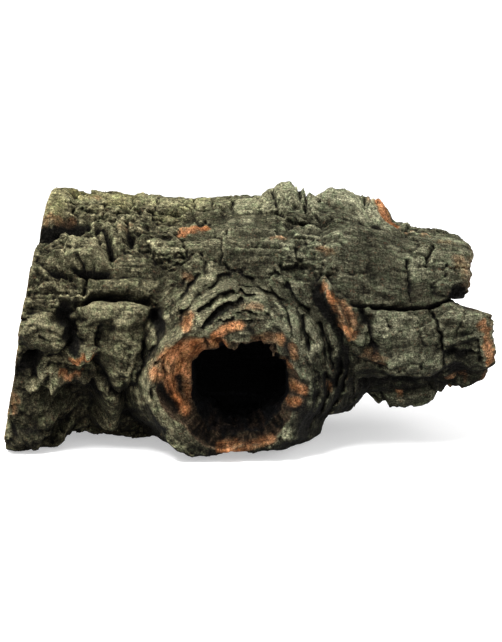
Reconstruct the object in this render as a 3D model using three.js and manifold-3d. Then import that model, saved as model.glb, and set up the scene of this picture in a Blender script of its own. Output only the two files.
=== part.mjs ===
// A cork bark tube: the hollow bark of a cork oak limb, saw-cut at its left end, broken off at its right end
// in two lobes, with a short branch stub that opens a wide hole at the front.
// Millimetres, +Z up, X along the tube, -Y to the front. The tube lies on the plane z = 0.
// The bark grew as one piece, so it is one mesh.

import * as THREE from "three";
import { mergeVertices } from "three/addons/utils/BufferGeometryUtils.js";
import Module from "manifold-3d";

const DEG = Math.PI / 180;

// Driving dimensions of the tube
const LEFT_X = -192; // where the saw cut meets the resting plane
const CUT_LEAN = 10 * DEG; // the saw cut leans in towards its top
const AXIS_Z = 100; // height of the tube's own axis
const CHART_R = 100; // radius that turns an angle round the tube into a length on its bark
const WALL = 24; // thickness of the cork
const LEAST_BORE = 30; // smallest inner radius
const BORE_FOLLOW = 0.55; // share of the outer swellings that the inner face follows
const LEAST_FOLLOW = -14; // how far in the inner face follows a cleft
const MOST_FOLLOW = 10; // and how far out it follows a swelling
const END_ROUND = 16; // rounding of the broken end, along the tube
const END_TAPER = 11; // and across it
const SAW_SPARE = 25; // bark beyond the saw cut before it is cut
const OPEN_SPARE = 60; // how far the hollow is carried past each end
const CORE_X = 150; // where the outside closes, inside the hollow

// Half sizes of the section at stations along the tube: x, front, top, back, bottom
const SECTIONS = [
  [-230, 100, 103, 98, 95],
  [-130, 100, 100, 98, 95],
  [-50, 98, 94, 96, 94],
  [20, 97, 96, 93, 94],
  [70, 93, 93, 88, 84],
  [105, 84, 84, 84, 78],
  [130, 78, 72, 80, 78],
  [160, 74, 70, 74, 76],
  [210, 64, 62, 62, 66],
];

// Where the broken end lies, round the tube: angle from the front up over the top, x
const BROKEN_END = [
  [-180, 150],
  [-135, 146],
  [-95, 158],
  [-62, 178],
  [-30, 202],
  [-8, 204],
  [5, 202],
  [16, 180],
  [34, 185],
  [55, 189],
  [76, 188],
  [105, 140],
  [140, 150],
  [180, 150],
];
const END_RAGGED = 5; // how far the broken end wanders along the tube
const END_WAVES = 26; // wanders round the tube

// Swellings and clefts of the bark. Each follows a line on the bark from (x, angle) to (x, angle),
// with its half width and height in mm, a negative height being a cleft.
const FORMS = [
  [-190, -48, -176, -50, 32, 38], // front foot of the sawn end
  [-145, -62, -85, -64, 24, 6], // low swelling behind it
  [34, -66, 46, -66, 20, 17], // front right rest, under the stub
  [-186, 150, -150, 150, 30, 7], // rear shoulder of the sawn end
  [-130, -115, -110, -115, 20, 16], // rear left rest
  [36, -115, 52, -115, 20, 18], // rear right rest
  [-158, 78, -142, 76, 20, 4], // block at the top of the sawn end
  [-156, 48, -136, 52, 6, -12], // recess under it
  [-133, 38, -117, 38, 17, 10], // lichen knob
  [-113, 47, -106, 33, 4, -9], // cleft right of the knob
  [-109, 49, -96, 49, 9, 5], // small block beside it
  [-94, 55, -91, 43, 3, -7], // cleft right of the small block
  [-126, 28, -120, 27, 6, -8], // pit under the knob
  [-118, 20, -70, 19, 9, 5], // band over the level cleft
  [-136, 13, -74, 13, 4, -12], // level cleft
  [-118, 7, -80, 7, 9, 8], // slab under it
  [-143, 8, -138, -8, 6, -11], // upright cleft
  [-160, 2, -146, -4, 15, 10], // square plate
  [-176, -15, -165, -15, 9, -17], // pit in the sawn edge
  [-130, -13, -118, -12, 5, 10], // curled flake
  [-142, -19, -134, -19, 5, 7], // second curled flake
  [-130, -22, -120, -24, 6, -9], // hollow under the flakes
  [-142, -33, -126, -42, 13, -12], // hollow over the foot
  [-93, -3, -96, -20, 16, 9], // oval plate
  [-73, 0, -84, -30, 4, -8], // cleft right of it
  [-109, -25, -107, -46, 13, 9], // second oval plate
  [-116, -12, -92, -40, 4, -8], // cleft between the oval plates
  [-70, 5, -67, 2, 6, -11], // pit over the collar
  [-75, 67, 15, 65, 4, -6], // long cleft under the top ridge
  [30, 80, 40, 84, 14, 13], // top lump
  [50, 93, 51, 64, 3, -9], // cleft right of the lump
  [60, 88, 64, 84, 10, 7], // smaller lump
  [44, 58, 60, 59, 5, -7], // recess under the lumps
  [8, 40, 26, 38, 4, -5], // step over the collar
  [82, 82, 110, 84, 15, 10], // upper slab that breaks off short
  [98, 65, 110, 66, 6, -12], // recess under its end
  [58, 26, 80, 1, 5, 10], // curled flake beside the stub
  [80, 1, 92, -4, 5, 8], // and on down
  [70, 16, 82, 5, 7, 5], // flake behind it
  [92, 10, 103, -12, 4, -8], // cleft right of the flakes
  [100, 11, 215, 18, 7, -20], // cleft between the two lobes
  [90, 46, 200, 48, 28, 7], // upper lobe
  [84, -20, 205, -24, 26, 8], // lower lobe
  [120, -26, 152, -25, 11, 6], // thick lower edge of its plate
  [100, -41, 148, -40, 7, -15], // black hollow under it
  [122, -64, 150, -60, 15, 9], // ridge along the bottom
  [182, -50, 196, -44, 14, 9], // lower corner of the broken end
  [149, 11, 162, -24, 3, -9], // crack across the lower lobe
  [163, -17, 182, -20, 9, -9], // recess right of the crack
  [152, 52, 147, 36, 3, -6], // crack across the upper lobe
  [-90, 150, 60, 160, 9, -10], // long cleft in the back
  [-60, 205, 120, 214, 8, -9], // second cleft in the back
  [-150, 178, -60, 184, 18, 6], // ridge along the back
  [0, 182, 90, 178, 20, 7], // and its run to the broken end
];

// Driving dimensions of the branch stub, whose axis runs along Y
const STUB_X = -5;
const STUB_Z = 56;
const STUB_TIP_Y = -126;
const STUB_ROOT_Y = -30; // deep inside the tube
const STUB_EDGE = 7; // rounding of the rim, across it
const STUB_RIM_DROP = 3; // and along the stub
const STUB_SKIRT = 84; // how far behind the rim the collar's outside ends, inside the tube's wall
const HOLE_DEPTHS = [-30, 0, 7, 14, 24, 45, 90]; // rings of the hole, measured in from its mouth
const MOUTH_DEPTH = 26; // how deep the mouth is wider
// Round the stub: angle from the right up over the top, rim radius, width of the folded collar, hole radius,
// how much wider the hole is at its mouth, how far the rim stands back
const STUB = [
  [-180, 70, 28, 37, 26, 2],
  [-135, 65, 12, 39, 14, 0],
  [-90, 48, 3, 40, 5, 2],
  [-45, 58, 18, 41, 9, 5],
  [0, 60, 48, 39, 12, 8],
  [45, 62, 60, 38, 9, 9],
  [90, 52, 70, 34, 11, 7],
  [135, 66, 60, 36, 22, 4],
  [180, 70, 28, 37, 26, 2],
];
const COLLAR_EDGE_DROP = 13; // how far the collar falls back just behind the rim
const COLLAR_DROP = 44; // and across its width
const FOLDS = 5; // folds of bark across the collar
const FOLD_HEIGHT = 6.5;
const FOLD_WOBBLE = 0.55; // how far the folds wander, in folds
const FOLD_RINGS = 4; // rings of the mesh for each fold
const PLAIN_NEAR = 70; // the tube has no plates nearer than this to the stub's axis
const PLAIN_FAR = 110; // and its full relief farther than this

// Bark plates: long cells along the tube, with cracks between them
const PLATE_LENGTH = 44;
const PLATES_ROUND = 22;
const PLATE_CRACK = 7; // depth of the cracks
const PLATE_STEP = 6; // how much the plates differ in height
const PLATE_WARP = 0.45; // how far the cells are bent, in cells
const PLATE_JITTER = 0.7; // how far a plate's middle wanders in its cell
const CRACK_WIDTH = 0.3; // in cells
const PLATE_LIFT = 2; // puts the plates' mean height on the section
const WARP_LENGTH = 60; // of the bends, along the tube
const WARPS_ROUND = 12; // and round it

// How finely the surfaces are divided
const TUBE_RINGS = 52;
const ROUND_RINGS = 3; // round the broken end
const CORE_RINGS = 3; // across it
const TUBE_SIDES = 62;
const STUB_SIDES = 56;
const BORE_RINGS = 12;
const BORE_SIDES = 30;
const WASTE_SIZE = 800; // of the boxes that are cut away
const WELD = 1e-3; // points nearer than this are one

const mix = (a, b, t) => a + (b - a) * t;
const clamp01 = (t) => Math.min(1, Math.max(0, t));
const smooth = (low, high, v) => {
  const t = clamp01((v - low) / (high - low));
  return t * t * (3 - 2 * t);
};
const wrapDegrees = (a) => a - 360 * Math.round(a / 360);

// A row of a table at a key between its rows, eased so that the outline has no kinks
function rowAt(table, key) {
  let i = 0;
  while (i < table.length - 2 && key > table[i + 1][0]) i += 1;
  const t = smooth(table[i][0], table[i + 1][0], key);
  return table[i].map((v, k) => mix(v, table[i + 1][k], t));
}

// A repeatable number from 0 to 1 for a grid cell
function cellNumber(i, j, salt) {
  const s = Math.sin(i * 127.1 + j * 311.7 + salt * 74.7) * 43758.5453;
  return s - Math.floor(s);
}

// Smooth noise from -1 to 1 on a plane, repeating every `round` cells in its second direction
function noise(u, v, round, salt) {
  const i = Math.floor(u);
  const j = Math.floor(v);
  const fu = smooth(0, 1, u - i);
  const fv = smooth(0, 1, v - j);
  const at = (di, dj) => cellNumber(i + di, (((j + dj) % round) + round) % round, salt);
  return 2 * mix(mix(at(0, 0), at(1, 0), fu), mix(at(0, 1), at(1, 1), fu), fv) - 1;
}

// Height of the bark plates and the cracks between them at x and an angle in degrees
function plates(x, angle) {
  const turn = (angle + 360) / 360;
  const warpU = noise(x / WARP_LENGTH, turn * WARPS_ROUND, WARPS_ROUND, 1);
  const warpV = noise(x / WARP_LENGTH, turn * WARPS_ROUND, WARPS_ROUND, 2);
  const u = x / PLATE_LENGTH + PLATE_WARP * warpU;
  const v = turn * PLATES_ROUND + PLATE_WARP * warpV;
  const margin = (1 - PLATE_JITTER) / 2;
  const i = Math.floor(u);
  const j = Math.floor(v);
  let nearest = Infinity;
  let second = Infinity;
  let step = 0;
  for (let di = -1; di <= 1; di += 1) {
    for (let dj = -1; dj <= 1; dj += 1) {
      const ci = i + di;
      const cj = (((j + dj) % PLATES_ROUND) + PLATES_ROUND) % PLATES_ROUND;
      const du = ci + margin + PLATE_JITTER * cellNumber(ci, cj, 3) - u;
      const dv = j + dj + margin + PLATE_JITTER * cellNumber(ci, cj, 4) - v;
      const d = Math.hypot(du, dv);
      if (d < nearest) {
        second = nearest;
        nearest = d;
        step = cellNumber(ci, cj, 5) - 0.5;
      } else if (d < second) {
        second = d;
      }
    }
  }
  const inPlate = smooth(0, CRACK_WIDTH, second - nearest);
  return PLATE_CRACK * (inPlate - 1) + PLATE_STEP * step * inPlate + PLATE_LIFT;
}

// Height of all the forms together at x and an angle
function forms(x, angle) {
  let height = 0;
  for (const [x0, a0, x1, a1, width, rise] of FORMS) {
    const turn = wrapDegrees(angle - a0);
    const across = turn * DEG * CHART_R;
    const run = x1 - x0;
    const climb = (a1 - a0) * DEG * CHART_R;
    const along = clamp01(((x - x0) * run + across * climb) / (run * run + climb * climb + 1e-9));
    const d = Math.hypot(x - x0 - along * run, across - along * climb) / width;
    height += rise * Math.exp(-(d ** 3));
  }
  return height;
}

// Distance from the tube's axis to the smooth section, without forms or plates
function sectionRadius(x, angle) {
  const [, front, top, back, bottom] = rowAt(SECTIONS, x);
  const c = Math.cos(angle * DEG);
  const s = Math.sin(angle * DEG);
  return 1 / Math.hypot(c / (c > 0 ? front : back), s / (s > 0 ? top : bottom));
}

// The bark is plain where the stub's collar covers it
function awayFromStub(x, angle, radius) {
  const dx = x - STUB_X;
  const dz = AXIS_Z + radius * Math.sin(angle * DEG) - STUB_Z;
  const front = smooth(0, 0.4, Math.cos(angle * DEG));
  return 1 - front * (1 - smooth(PLAIN_NEAR, PLAIN_FAR, Math.hypot(dx, dz)));
}

function barkRadius(x, angle) {
  const radius = sectionRadius(x, angle);
  const open = awayFromStub(x, angle, radius);
  return radius + forms(x, angle) + open * plates(x, angle);
}

function boreRadius(x, angle) {
  const swelling = Math.max(LEAST_FOLLOW, Math.min(MOST_FOLLOW, forms(x, angle)));
  return Math.max(LEAST_BORE, sectionRadius(x, angle) - WALL + BORE_FOLLOW * swelling);
}

function brokenEnd(angle) {
  const wander = noise(0.5, ((angle + 360) / 360) * END_WAVES, END_WAVES, 6);
  return rowAt(BROKEN_END, wrapDegrees(angle))[1] + END_RAGGED * wander;
}

// A closed body of rings round an axis: a LatheGeometry whose points are then set by place(ring, angle),
// with the first and last ring on the axis.
function ringBody(rings, sides, place) {
  const profile = Array.from({ length: rings + 1 }, (_, i) => {
    const onAxis = i === 0 || i === rings;
    return new THREE.Vector2(onAxis ? 0 : 1, i);
  });
  const geometry = new THREE.LatheGeometry(profile, sides);
  const position = geometry.getAttribute("position");
  for (let k = 0; k < position.count; k += 1) {
    const ring = k % (rings + 1);
    const side = Math.floor(k / (rings + 1)) % sides;
    const point = place(ring, (side / sides) * 360);
    position.setXYZ(k, point.x, point.y, point.z);
  }
  return geometry;
}

// A point of the tube from its place along the axis, its angle and its distance from the axis
const tubePoint = (x, angle, radius) =>
  new THREE.Vector3(x, -radius * Math.cos(angle * DEG), AXIS_Z + radius * Math.sin(angle * DEG));

// A point round the stub's axis
const stubPoint = (y, angle, radius) =>
  new THREE.Vector3(STUB_X + radius * Math.cos(angle * DEG), y, STUB_Z + radius * Math.sin(angle * DEG));

// The outside of the tube, longer than the saw cut at its left, with a rounded broken end at its right
function tubeOutside() {
  const start = LEFT_X - SAW_SPARE;
  const rings = TUBE_RINGS + ROUND_RINGS + CORE_RINGS;
  return ringBody(rings, TUBE_SIDES, (ring, angle) => {
    if (ring === 0) return tubePoint(start, angle, 0);
    const end = brokenEnd(angle);
    const straight = end - END_ROUND;
    if (ring <= TUBE_RINGS) {
      const x = mix(start, straight, (ring - 1) / (TUBE_RINGS - 1));
      return tubePoint(x, angle, barkRadius(x, angle));
    }
    if (ring <= TUBE_RINGS + ROUND_RINGS) {
      const turn = ((ring - TUBE_RINGS) / ROUND_RINGS) * 90 * DEG;
      const x = straight + END_ROUND * Math.sin(turn);
      return tubePoint(x, angle, barkRadius(x, angle) - END_TAPER * (1 - Math.cos(turn)));
    }
    const share = (ring - TUBE_RINGS - ROUND_RINGS) / CORE_RINGS;
    const radius = (barkRadius(end, angle) - END_TAPER) * (1 - share);
    return tubePoint(mix(end, CORE_X, share), angle, radius);
  });
}

// The hollow inside the tube, open past both ends
function tubeHollow() {
  const first = LEFT_X - OPEN_SPARE;
  const last = -LEFT_X + OPEN_SPARE;
  return ringBody(BORE_RINGS + 2, BORE_SIDES, (ring, angle) => {
    if (ring === 0) return tubePoint(first, angle, 0);
    if (ring === BORE_RINGS + 2) return tubePoint(last, angle, 0);
    const x = mix(first, last, (ring - 1) / BORE_RINGS);
    return tubePoint(x, angle, boreRadius(x, angle));
  });
}

// How far the folds of the collar stand out at a share of its width, round ridges with sharp clefts between
function foldHeight(share, angle) {
  const turn = (angle + 360) / 360;
  const wander = FOLD_WOBBLE * noise(share * 1.5 + 3.1, turn * 9, 9, 8);
  const wave = Math.abs(Math.sin(Math.PI * (FOLDS * share + wander)));
  const strength = 0.75 + 0.35 * noise(share * 3, turn * 7, 7, 9);
  return FOLD_HEIGHT * strength * (Math.sqrt(wave) - 0.6);
}

// The stub with its rim and the folded collar that runs out onto the tube
function stubOutside() {
  const foldRings = FOLDS * FOLD_RINGS;
  const rings = foldRings + 6;
  return ringBody(rings, STUB_SIDES, (ring, angle) => {
    const [, rim, collar, , , back] = rowAt(STUB, wrapDegrees(angle));
    const tip = STUB_TIP_Y + back;
    if (ring === 0) return stubPoint(STUB_TIP_Y, angle, 0);
    if (ring === 1) return stubPoint(tip, angle, LEAST_BORE);
    if (ring === 2) return stubPoint(tip, angle, rim - STUB_EDGE);
    const share = clamp01((ring - 3) / foldRings);
    const drop = COLLAR_EDGE_DROP * Math.sqrt(share) + COLLAR_DROP * share;
    const lift = foldHeight(share, angle) * smooth(0, 12, collar * share + 3);
    if (ring <= foldRings + 3) {
      return stubPoint(tip + STUB_RIM_DROP + drop - lift, angle, rim + collar * share);
    }
    if (ring === rings - 2) return stubPoint(tip + STUB_SKIRT, angle, rim + collar);
    if (ring === rings - 1) return stubPoint(STUB_ROOT_Y, angle, rim);
    return stubPoint(STUB_ROOT_Y, angle, 0);
  });
}

// The hole through the stub, wider at its mouth where the rim has broken away
function stubHole() {
  const rings = HOLE_DEPTHS.length + 1;
  return ringBody(rings, BORE_SIDES, (ring, angle) => {
    const [, , , hole, mouth] = rowAt(STUB, wrapDegrees(angle));
    const depth = HOLE_DEPTHS[Math.min(rings - 2, Math.max(0, ring - 1))];
    const wide = mouth * (1 - smooth(0, MOUTH_DEPTH, depth));
    const onAxis = ring === 0 || ring === rings;
    return stubPoint(STUB_TIP_Y + depth, angle, onAxis ? 0 : hole + wide);
  });
}

const wasm = await Module();
wasm.setup();

// A three.js geometry as a manifold-3d solid that faces out
function solid(geometry) {
  const bare = geometry.clone();
  bare.deleteAttribute("normal");
  bare.deleteAttribute("uv");
  const merged = mergeVertices(bare, WELD);
  const triVerts = new Uint32Array(merged.index.array);
  const vertProperties = new Float32Array(merged.getAttribute("position").array);
  const made = new wasm.Manifold(new wasm.Mesh({ numProp: 3, vertProperties, triVerts }));
  if (made.volume() > 0) return made;
  for (let i = 0; i < triVerts.length; i += 3) {
    [triVerts[i + 1], triVerts[i + 2]] = [triVerts[i + 2], triVerts[i + 1]];
  }
  return new wasm.Manifold(new wasm.Mesh({ numProp: 3, vertProperties, triVerts }));
}

// The largest body of a solid, without crumbs that the cuts left
function mainBody(whole) {
  return whole.decompose().reduce((a, b) => (a.volume() > b.volume() ? a : b));
}

function geometryOf(whole) {
  const mesh = whole.getMesh();
  return new THREE.BufferGeometry()
    .setAttribute("position", new THREE.BufferAttribute(mesh.vertProperties, mesh.numProp))
    .setIndex(new THREE.BufferAttribute(mesh.triVerts, 1));
}

// The waste that the saw takes off the left end, and all that would lie under the resting plane
function sawWaste() {
  const box = new THREE.BoxGeometry(WASTE_SIZE, WASTE_SIZE, WASTE_SIZE);
  box.translate(-WASTE_SIZE / 2, 0, 0);
  box.rotateY(CUT_LEAN);
  box.translate(LEFT_X, 0, 0);
  return box;
}

function groundWaste() {
  const box = new THREE.BoxGeometry(WASTE_SIZE, WASTE_SIZE, WASTE_SIZE);
  box.translate(0, 0, -WASTE_SIZE / 2);
  return box;
}

function corkBark() {
  const outside = solid(tubeOutside()).add(solid(stubOutside()));
  const hollow = solid(tubeHollow()).add(solid(stubHole()));
  const waste = solid(sawWaste()).add(solid(groundWaste()));
  const geometry = geometryOf(mainBody(outside.subtract(hollow).subtract(waste)));
  geometry.computeBoundingBox();
  const middle = geometry.boundingBox.getCenter(new THREE.Vector3());
  geometry.translate(-middle.x, -middle.y, -geometry.boundingBox.min.z);
  geometry.computeVertexNormals();
  const cork = new THREE.MeshStandardMaterial({ color: 0x3f3d30, roughness: 0.95, metalness: 0 });
  const mesh = new THREE.Mesh(geometry, cork);
  mesh.name = "cork_bark";
  return mesh;
}

const tube = new THREE.Group();
tube.add(corkBark());

export default tube;
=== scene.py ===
"""A cork bark tube: fine bark relief, bare cork and hollow, with a pale floor, soft light and a camera."""

import math

import bpy
import numpy as np
import openvdb
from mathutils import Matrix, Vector


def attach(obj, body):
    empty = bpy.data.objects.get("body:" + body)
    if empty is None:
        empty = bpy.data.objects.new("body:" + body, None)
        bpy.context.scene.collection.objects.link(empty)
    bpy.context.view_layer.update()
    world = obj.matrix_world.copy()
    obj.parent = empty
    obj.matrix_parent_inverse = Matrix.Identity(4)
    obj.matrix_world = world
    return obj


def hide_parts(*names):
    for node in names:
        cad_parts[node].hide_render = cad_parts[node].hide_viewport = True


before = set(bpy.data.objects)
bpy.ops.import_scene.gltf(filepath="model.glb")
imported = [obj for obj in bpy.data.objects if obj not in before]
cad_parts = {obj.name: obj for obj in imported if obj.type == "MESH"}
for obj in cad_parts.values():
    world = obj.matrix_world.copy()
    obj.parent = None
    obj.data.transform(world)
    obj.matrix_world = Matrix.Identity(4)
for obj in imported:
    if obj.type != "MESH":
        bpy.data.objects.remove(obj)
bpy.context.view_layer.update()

DEG = math.pi / 180

# The part's own frame, in mm: X along the tube, -Y to the front. It is moved by this to the row's frame.
MIDDLE = np.array([5.93, -9.84, 0.0])

# Driving dimensions of the tube, in mm, as in the part's source
LEFT_X = -192
CUT_LEAN = 9.3 * DEG
AXIS_Z = 100
CHART_R = 100
WALL = 24
LEAST_BORE = 30
BORE_FOLLOW = 0.55
END_ROUND = 13

# Half sizes of the section: x, front, top, back, bottom
SECTIONS = np.array([
    [-230, 100, 103, 98, 95],
    [-130, 100, 100, 98, 95],
    [-50, 98, 94, 96, 94],
    [20, 97, 96, 93, 94],
    [70, 93, 93, 88, 81],
    [105, 84, 84, 84, 72],
    [130, 78, 72, 80, 72],
    [160, 74, 70, 74, 69],
    [210, 64, 62, 62, 63],
], float)

# Where the broken end lies: angle from the front up over the top, x
BROKEN_END = np.array([
    [-180, 150],
    [-135, 146],
    [-95, 158],
    [-62, 178],
    [-30, 202],
    [-8, 204],
    [5, 202],
    [16, 176],
    [34, 183],
    [55, 187],
    [76, 186],
    [105, 140],
    [140, 150],
    [180, 150],
], float)

# Soft swellings and clefts along a line from (x, angle) to (x, angle): half width and height in mm
SOFT_FORMS = [
    [-190, -48, -176, -50, 32, 38],  # front foot of the sawn end
    [-145, -62, -85, -64, 24, 6],  # low swelling behind it
    [-86, -70, -66, -72, 14, 6],
    [34, -66, 46, -66, 20, 20],  # front right rest
    [-186, 150, -150, 150, 30, 7],  # rear shoulder
    [-130, -115, -110, -115, 20, 16],  # rear left rest
    [36, -115, 52, -115, 20, 18],  # rear right rest
    [-142, -33, -126, -42, 14, -13],  # hollow over the foot
    [30, 80, 40, 84, 15, 11],  # top lump
    [58, 88, 62, 84, 9, 2],  # smaller lump
    [90, 46, 200, 48, 28, 7],  # upper lobe
    [84, -20, 205, -24, 26, 8],  # lower lobe
    [122, -64, 150, -60, 15, 9],  # ridge along the bottom
    [182, -50, 196, -44, 14, 9],  # lower corner of the broken end
    [-150, 178, -60, 184, 18, 6],  # ridge along the back
    [0, 182, 90, 178, 20, 7],  # and its run to the broken end
    [-62, 30, -60, 0, 14, -5],  # slope that runs down beside the collar
]

# Plates and flakes with steep edges
STEEP_FORMS = [
    [-153, 66, -153, 104, 14, 4],  # block at the top of the sawn end
    [-129, 35, -120, 34.5, 11.5, 14],  # lichen knob
    [-146, 33, -145, 33, 5, 7],  # small knob beside it
    [-154, 31, -140, 31, 3, 6],  # ledge under it
    [-109, 49, -96, 49, 8, 5],  # small block
    [-67, 41, -64, 39, 8, 5],  # small pale lump
    [-118, 20, -70, 19, 8, 3.6],  # band over the level cleft
    [-116, 7, -84, 7, 9, 8],  # slab under it
    [-161, -1, -151, -4, 13, 11],  # square plate
    [-159, -11, -157, -17, 4, 6],  # pale flake beside the pit
    [-133, -12.5, -124, -9.5, 3.6, 12],  # curled flake
    [-124, -9.5, -115, -8, 3.2, 10],
    [-159, -18, -145, -20, 4.5, 8],  # second curled flake
    [-145, -20, -126, -24, 4.5, 9],
    [-185, -31, -170, -33, 6, 5],  # flakes of the foot
    [-178, -45, -160, -41, 7, 4],
    [-160, -34, -148, -37, 6, 4],
    [-190, -58, -176, -62, 8, 4],
    [-150, -52, -130, -56, 6, 4],
    [-168, -25, -150, -22, 6, 5],  # small flakes
    [-92, -4, -94, -19, 15, 12],  # oval plate
    [-108, -28, -111, -50, 11, 13],  # second oval plate
    [32, 84, 38, 76, 7, 4],  # knobs of the top lump
    [46, 84, 47, 78, 4, 3],
    [20, 76, 26, 74, 6, 3],
    [82, 82, 104, 84, 15, 11],  # upper slab that breaks off short
    [116, 68, 150, 66, 4, 3],  # ragged edge beyond it
    [62, 22, 82, 0, 4, 12],  # curled flake beside the stub
    [82, 0, 93, -4, 4, 9],  # and on down
    [74, 14, 86, 4, 6, 6],  # flake behind it
    [90, -10, 112, -16, 5, 5],  # brown flakes
    [108, -2, 140, -8, 24, 4],  # plate of the lower lobe
    [124, -20, 150, -21, 13, 9],  # its thick lower edge
    [168, 8, 184, 4, 12, 4],  # plate right of the crack
    [160, -9, 186, -7, 3, 5],  # lip over a recess
]

# Narrow clefts, cracks and pits
CLEFTS = [
    [-162, 50, -138, 52, 6.5, -15],
    [-138, 52, -126, 54, 4, -9],
    [-116, 52, -109, 45, 2, -12],
    [-109, 45, -104, 35, 2, -12],
    [-141, 88, -141, 78, 2.2, -7],
    [-94, 56, -91, 43, 2.2, -7],
    [-79, 57, -78, 48, 1.5, -5],
    [-132, 27, -120, 25.5, 2.8, -13],
    [-120, 25.5, -108, 26.5, 2.2, -10],
    [-126, 29, -125, 25, 2.2, -9],
    [-117, 28, -116, 24, 2, -8],
    [-155, 27, -140, 25, 3, -7],
    [-125, 25, -125, 17, 2, -7],
    [-136, 13, -125, 13, 2.4, -7],
    [-125, 13, -120, 14, 2.2, -10],
    [-120, 14, -79, 14, 1.8, -11],
    [-79, 14, -68, 10, 2.2, -10],
    [-119, 3, -104, 4, 1.2, -3],
    [-142, 10, -136, 2, 5, -15],
    [-136, 2, -133, -9, 4.6, -15],
    [-171, -12, -142, -12.5, 1.6, -6],
    [-174, -16, -165, -15, 6.5, -20],
    [-134, -24, -119, -31, 5.5, -14],
    [-158, -27, -138, -30, 3, -7],
    [-182, -38, -150, -42, 2.4, -6],
    [-182, -38, -180, -40, 4, -8],
    [-73, 0, -80, -17, 3, -11],
    [-80, -17, -84, -31, 3, -11],
    [-84, -31, -80, -44, 3.4, -10],
    [-112, 2, -116, -12, 2, -7],
    [-116, -12, -110, -21, 2.8, -10],
    [-110, -21, -97, -32, 3, -12],
    [-97, -32, -90, -44, 3.4, -13],
    [-93, -50, -86, -54, 6, -9],
    [-70, 5, -67, 1, 5, -13],
    [-78, 66, -23, 67, 1.8, -6],
    [-23, 67, 13, 65, 1.4, -4],
    [-92, 70, -92, 90, 1.3, -4],
    [-72, 70, -72, 92, 1.2, -3],
    [-42, 68, -42, 92, 1.3, -4],
    [-25, 68, -25, 92, 1.3, -4],
    [-10, 62, -10, 90, 1.8, -7],
    [17, 55, 17.5, 55, 1.8, -7],
    [22, 76, 28, 64, 1.6, -5],
    [46, 90, 46, 75, 2, -8],
    [51, 94, 51, 64, 2.2, -8],
    [44, 58, 60, 59, 4, -8],
    [8, 39, 26, 38, 1.6, -5],
    [98, 65, 110, 66, 5, -13],
    [110, 70, 122, 76, 3, -6],
    [152, 52, 147, 36, 1.3, -6],
    [132, 38, 134, 16, 1.8, -4],
    [84, 12, 108, 10, 1.4, -7],
    [100, 10.5, 145, 11, 1.5, -10],
    [145, 11, 165, 16, 1.7, -11],
    [165, 16, 178, 19, 2.6, -14],
    [177, 19, 215, 20, 7, -36],
    [148, 11, 155, 0, 1.1, -6],
    [155, 0, 158, -13, 1.3, -8],
    [158, -13, 161, -24, 1.6, -9],
    [163, -16, 182, -18, 6, -9],
    [166, -26, 176, -37, 9, -7],
    [92, 9, 99, 1, 2.6, -8],
    [99, 1, 103, -12, 2.4, -8],
    [112, 4, 116, 0, 1.3, -3],
    [96, -36, 118, -37, 5, -13],
    [116, -36, 150, -37, 6.5, -26],
    [98, -58, 104, -92, 8, -9],
    [164, -48, 168, -80, 9, -7],
    [150, -34, 164, -30, 4, -9],
    [92, -34, 104, -38, 8, -10],
    [84, -52, 112, -56, 3, -8],
    [112, -56, 118, -72, 3, -7],
    [156, -48, 160, -66, 3, -8],
    [186, -9, 190, -24, 2, -5],
    [-90, 150, 60, 160, 7, -10],
    [-60, 205, 120, 214, 6, -9],
    [-170, 120, -20, 126, 3, -7],
    [-10, 118, 110, 128, 3, -7],
    [-120, 232, 60, 226, 4, -7],
]

# The branch stub, whose axis runs along Y
STUB_X = -5
STUB_Z = 56
STUB_TIP_Y = -126
STUB_CUT_Y = -36
STUB_EDGE = 7
# Round it: angle, rim radius, width of the collar, widening of the mouth, how far the rim stands back
STUB = np.array([
    [-180, 70, 28, 26, 2],
    [-135, 65, 12, 9, 0],
    [-90, 48, 3, 2.5, 2],
    [-52, 57, 21, 4, 5],
    [-38, 59, 18, 6, 5],
    [-27, 59, 17, 8, 6],
    [-19, 60, 31, 10, 7],
    [0, 60, 48, 13, 8],
    [45, 62, 60, 4, 9],
    [90, 52, 70, 4, 7],
    [135, 66, 60, 20, 4],
    [180, 70, 28, 26, 2],
], float)
COLLAR_EDGE_DROP = 13
COLLAR_DROP = 44
# The collar reaches back to this far in front of the tube's axis
COLLAR_BACK = 30
MOUTH_DEPTH = 26
# How far crumbly bark stands into the hole from below
FRINGE = 9

# Edge of the hole: angle, radius
HOLE_EDGE = np.array([
    [-180, 35],
    [-150, 37],
    [-131, 41],
    [-112, 43],
    [-87, 41],
    [-60, 42],
    [-30, 39.5],
    [0, 40],
    [36, 41],
    [52, 42.5],
    [64, 40.5],
    [76, 37],
    [93, 33],
    [119, 34.5],
    [138, 41.5],
    [150, 40],
    [164, 36.5],
    [180, 35],
], float)

# Lines round the stub: points (right, up) from its axis in mm
LIP = [(-69, 5), (-68, 18), (-61, 30), (-52, 40), (-43, 46), (-35, 46), (-28, 43)]  # over the bare face
FOLD_A = [(-24, 44), (-19, 52), (-10, 59), (0, 64), (11, 65), (21, 62)]  # folds over the hole, inner first
FOLD_B = [(-30, 51), (-27, 59), (-19, 65), (-11, 68), (-3, 70)]
FOLD_C = [(-34, 59), (-29, 67), (-21, 74), (-11, 78), (-4, 79)]
FOLD_D = [(-41, 66), (-36, 74), (-29, 81), (-20, 86)]
LUMP = [(49, 76), (55, 70)]  # on the right
RIGHT_A = [(43, 59), (45, 46), (47, 31)]  # folds right of the hole, inner first
RIGHT_B = [(58, 51), (63, 37), (70, 22), (73, 10)]
RIGHT_C = [(73, 53), (77, 37), (79, 22)]
EAR = [(39, 16), (47, 14), (55, 8), (57, -2)]  # over the bare cork on the right
HOLE_LUMP = [(-2, 40), (7, 43)]  # at the top of the hole
LOWER_A = [(-63, 0), (-57, -13), (-46, -20)]  # lower left folds
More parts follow.
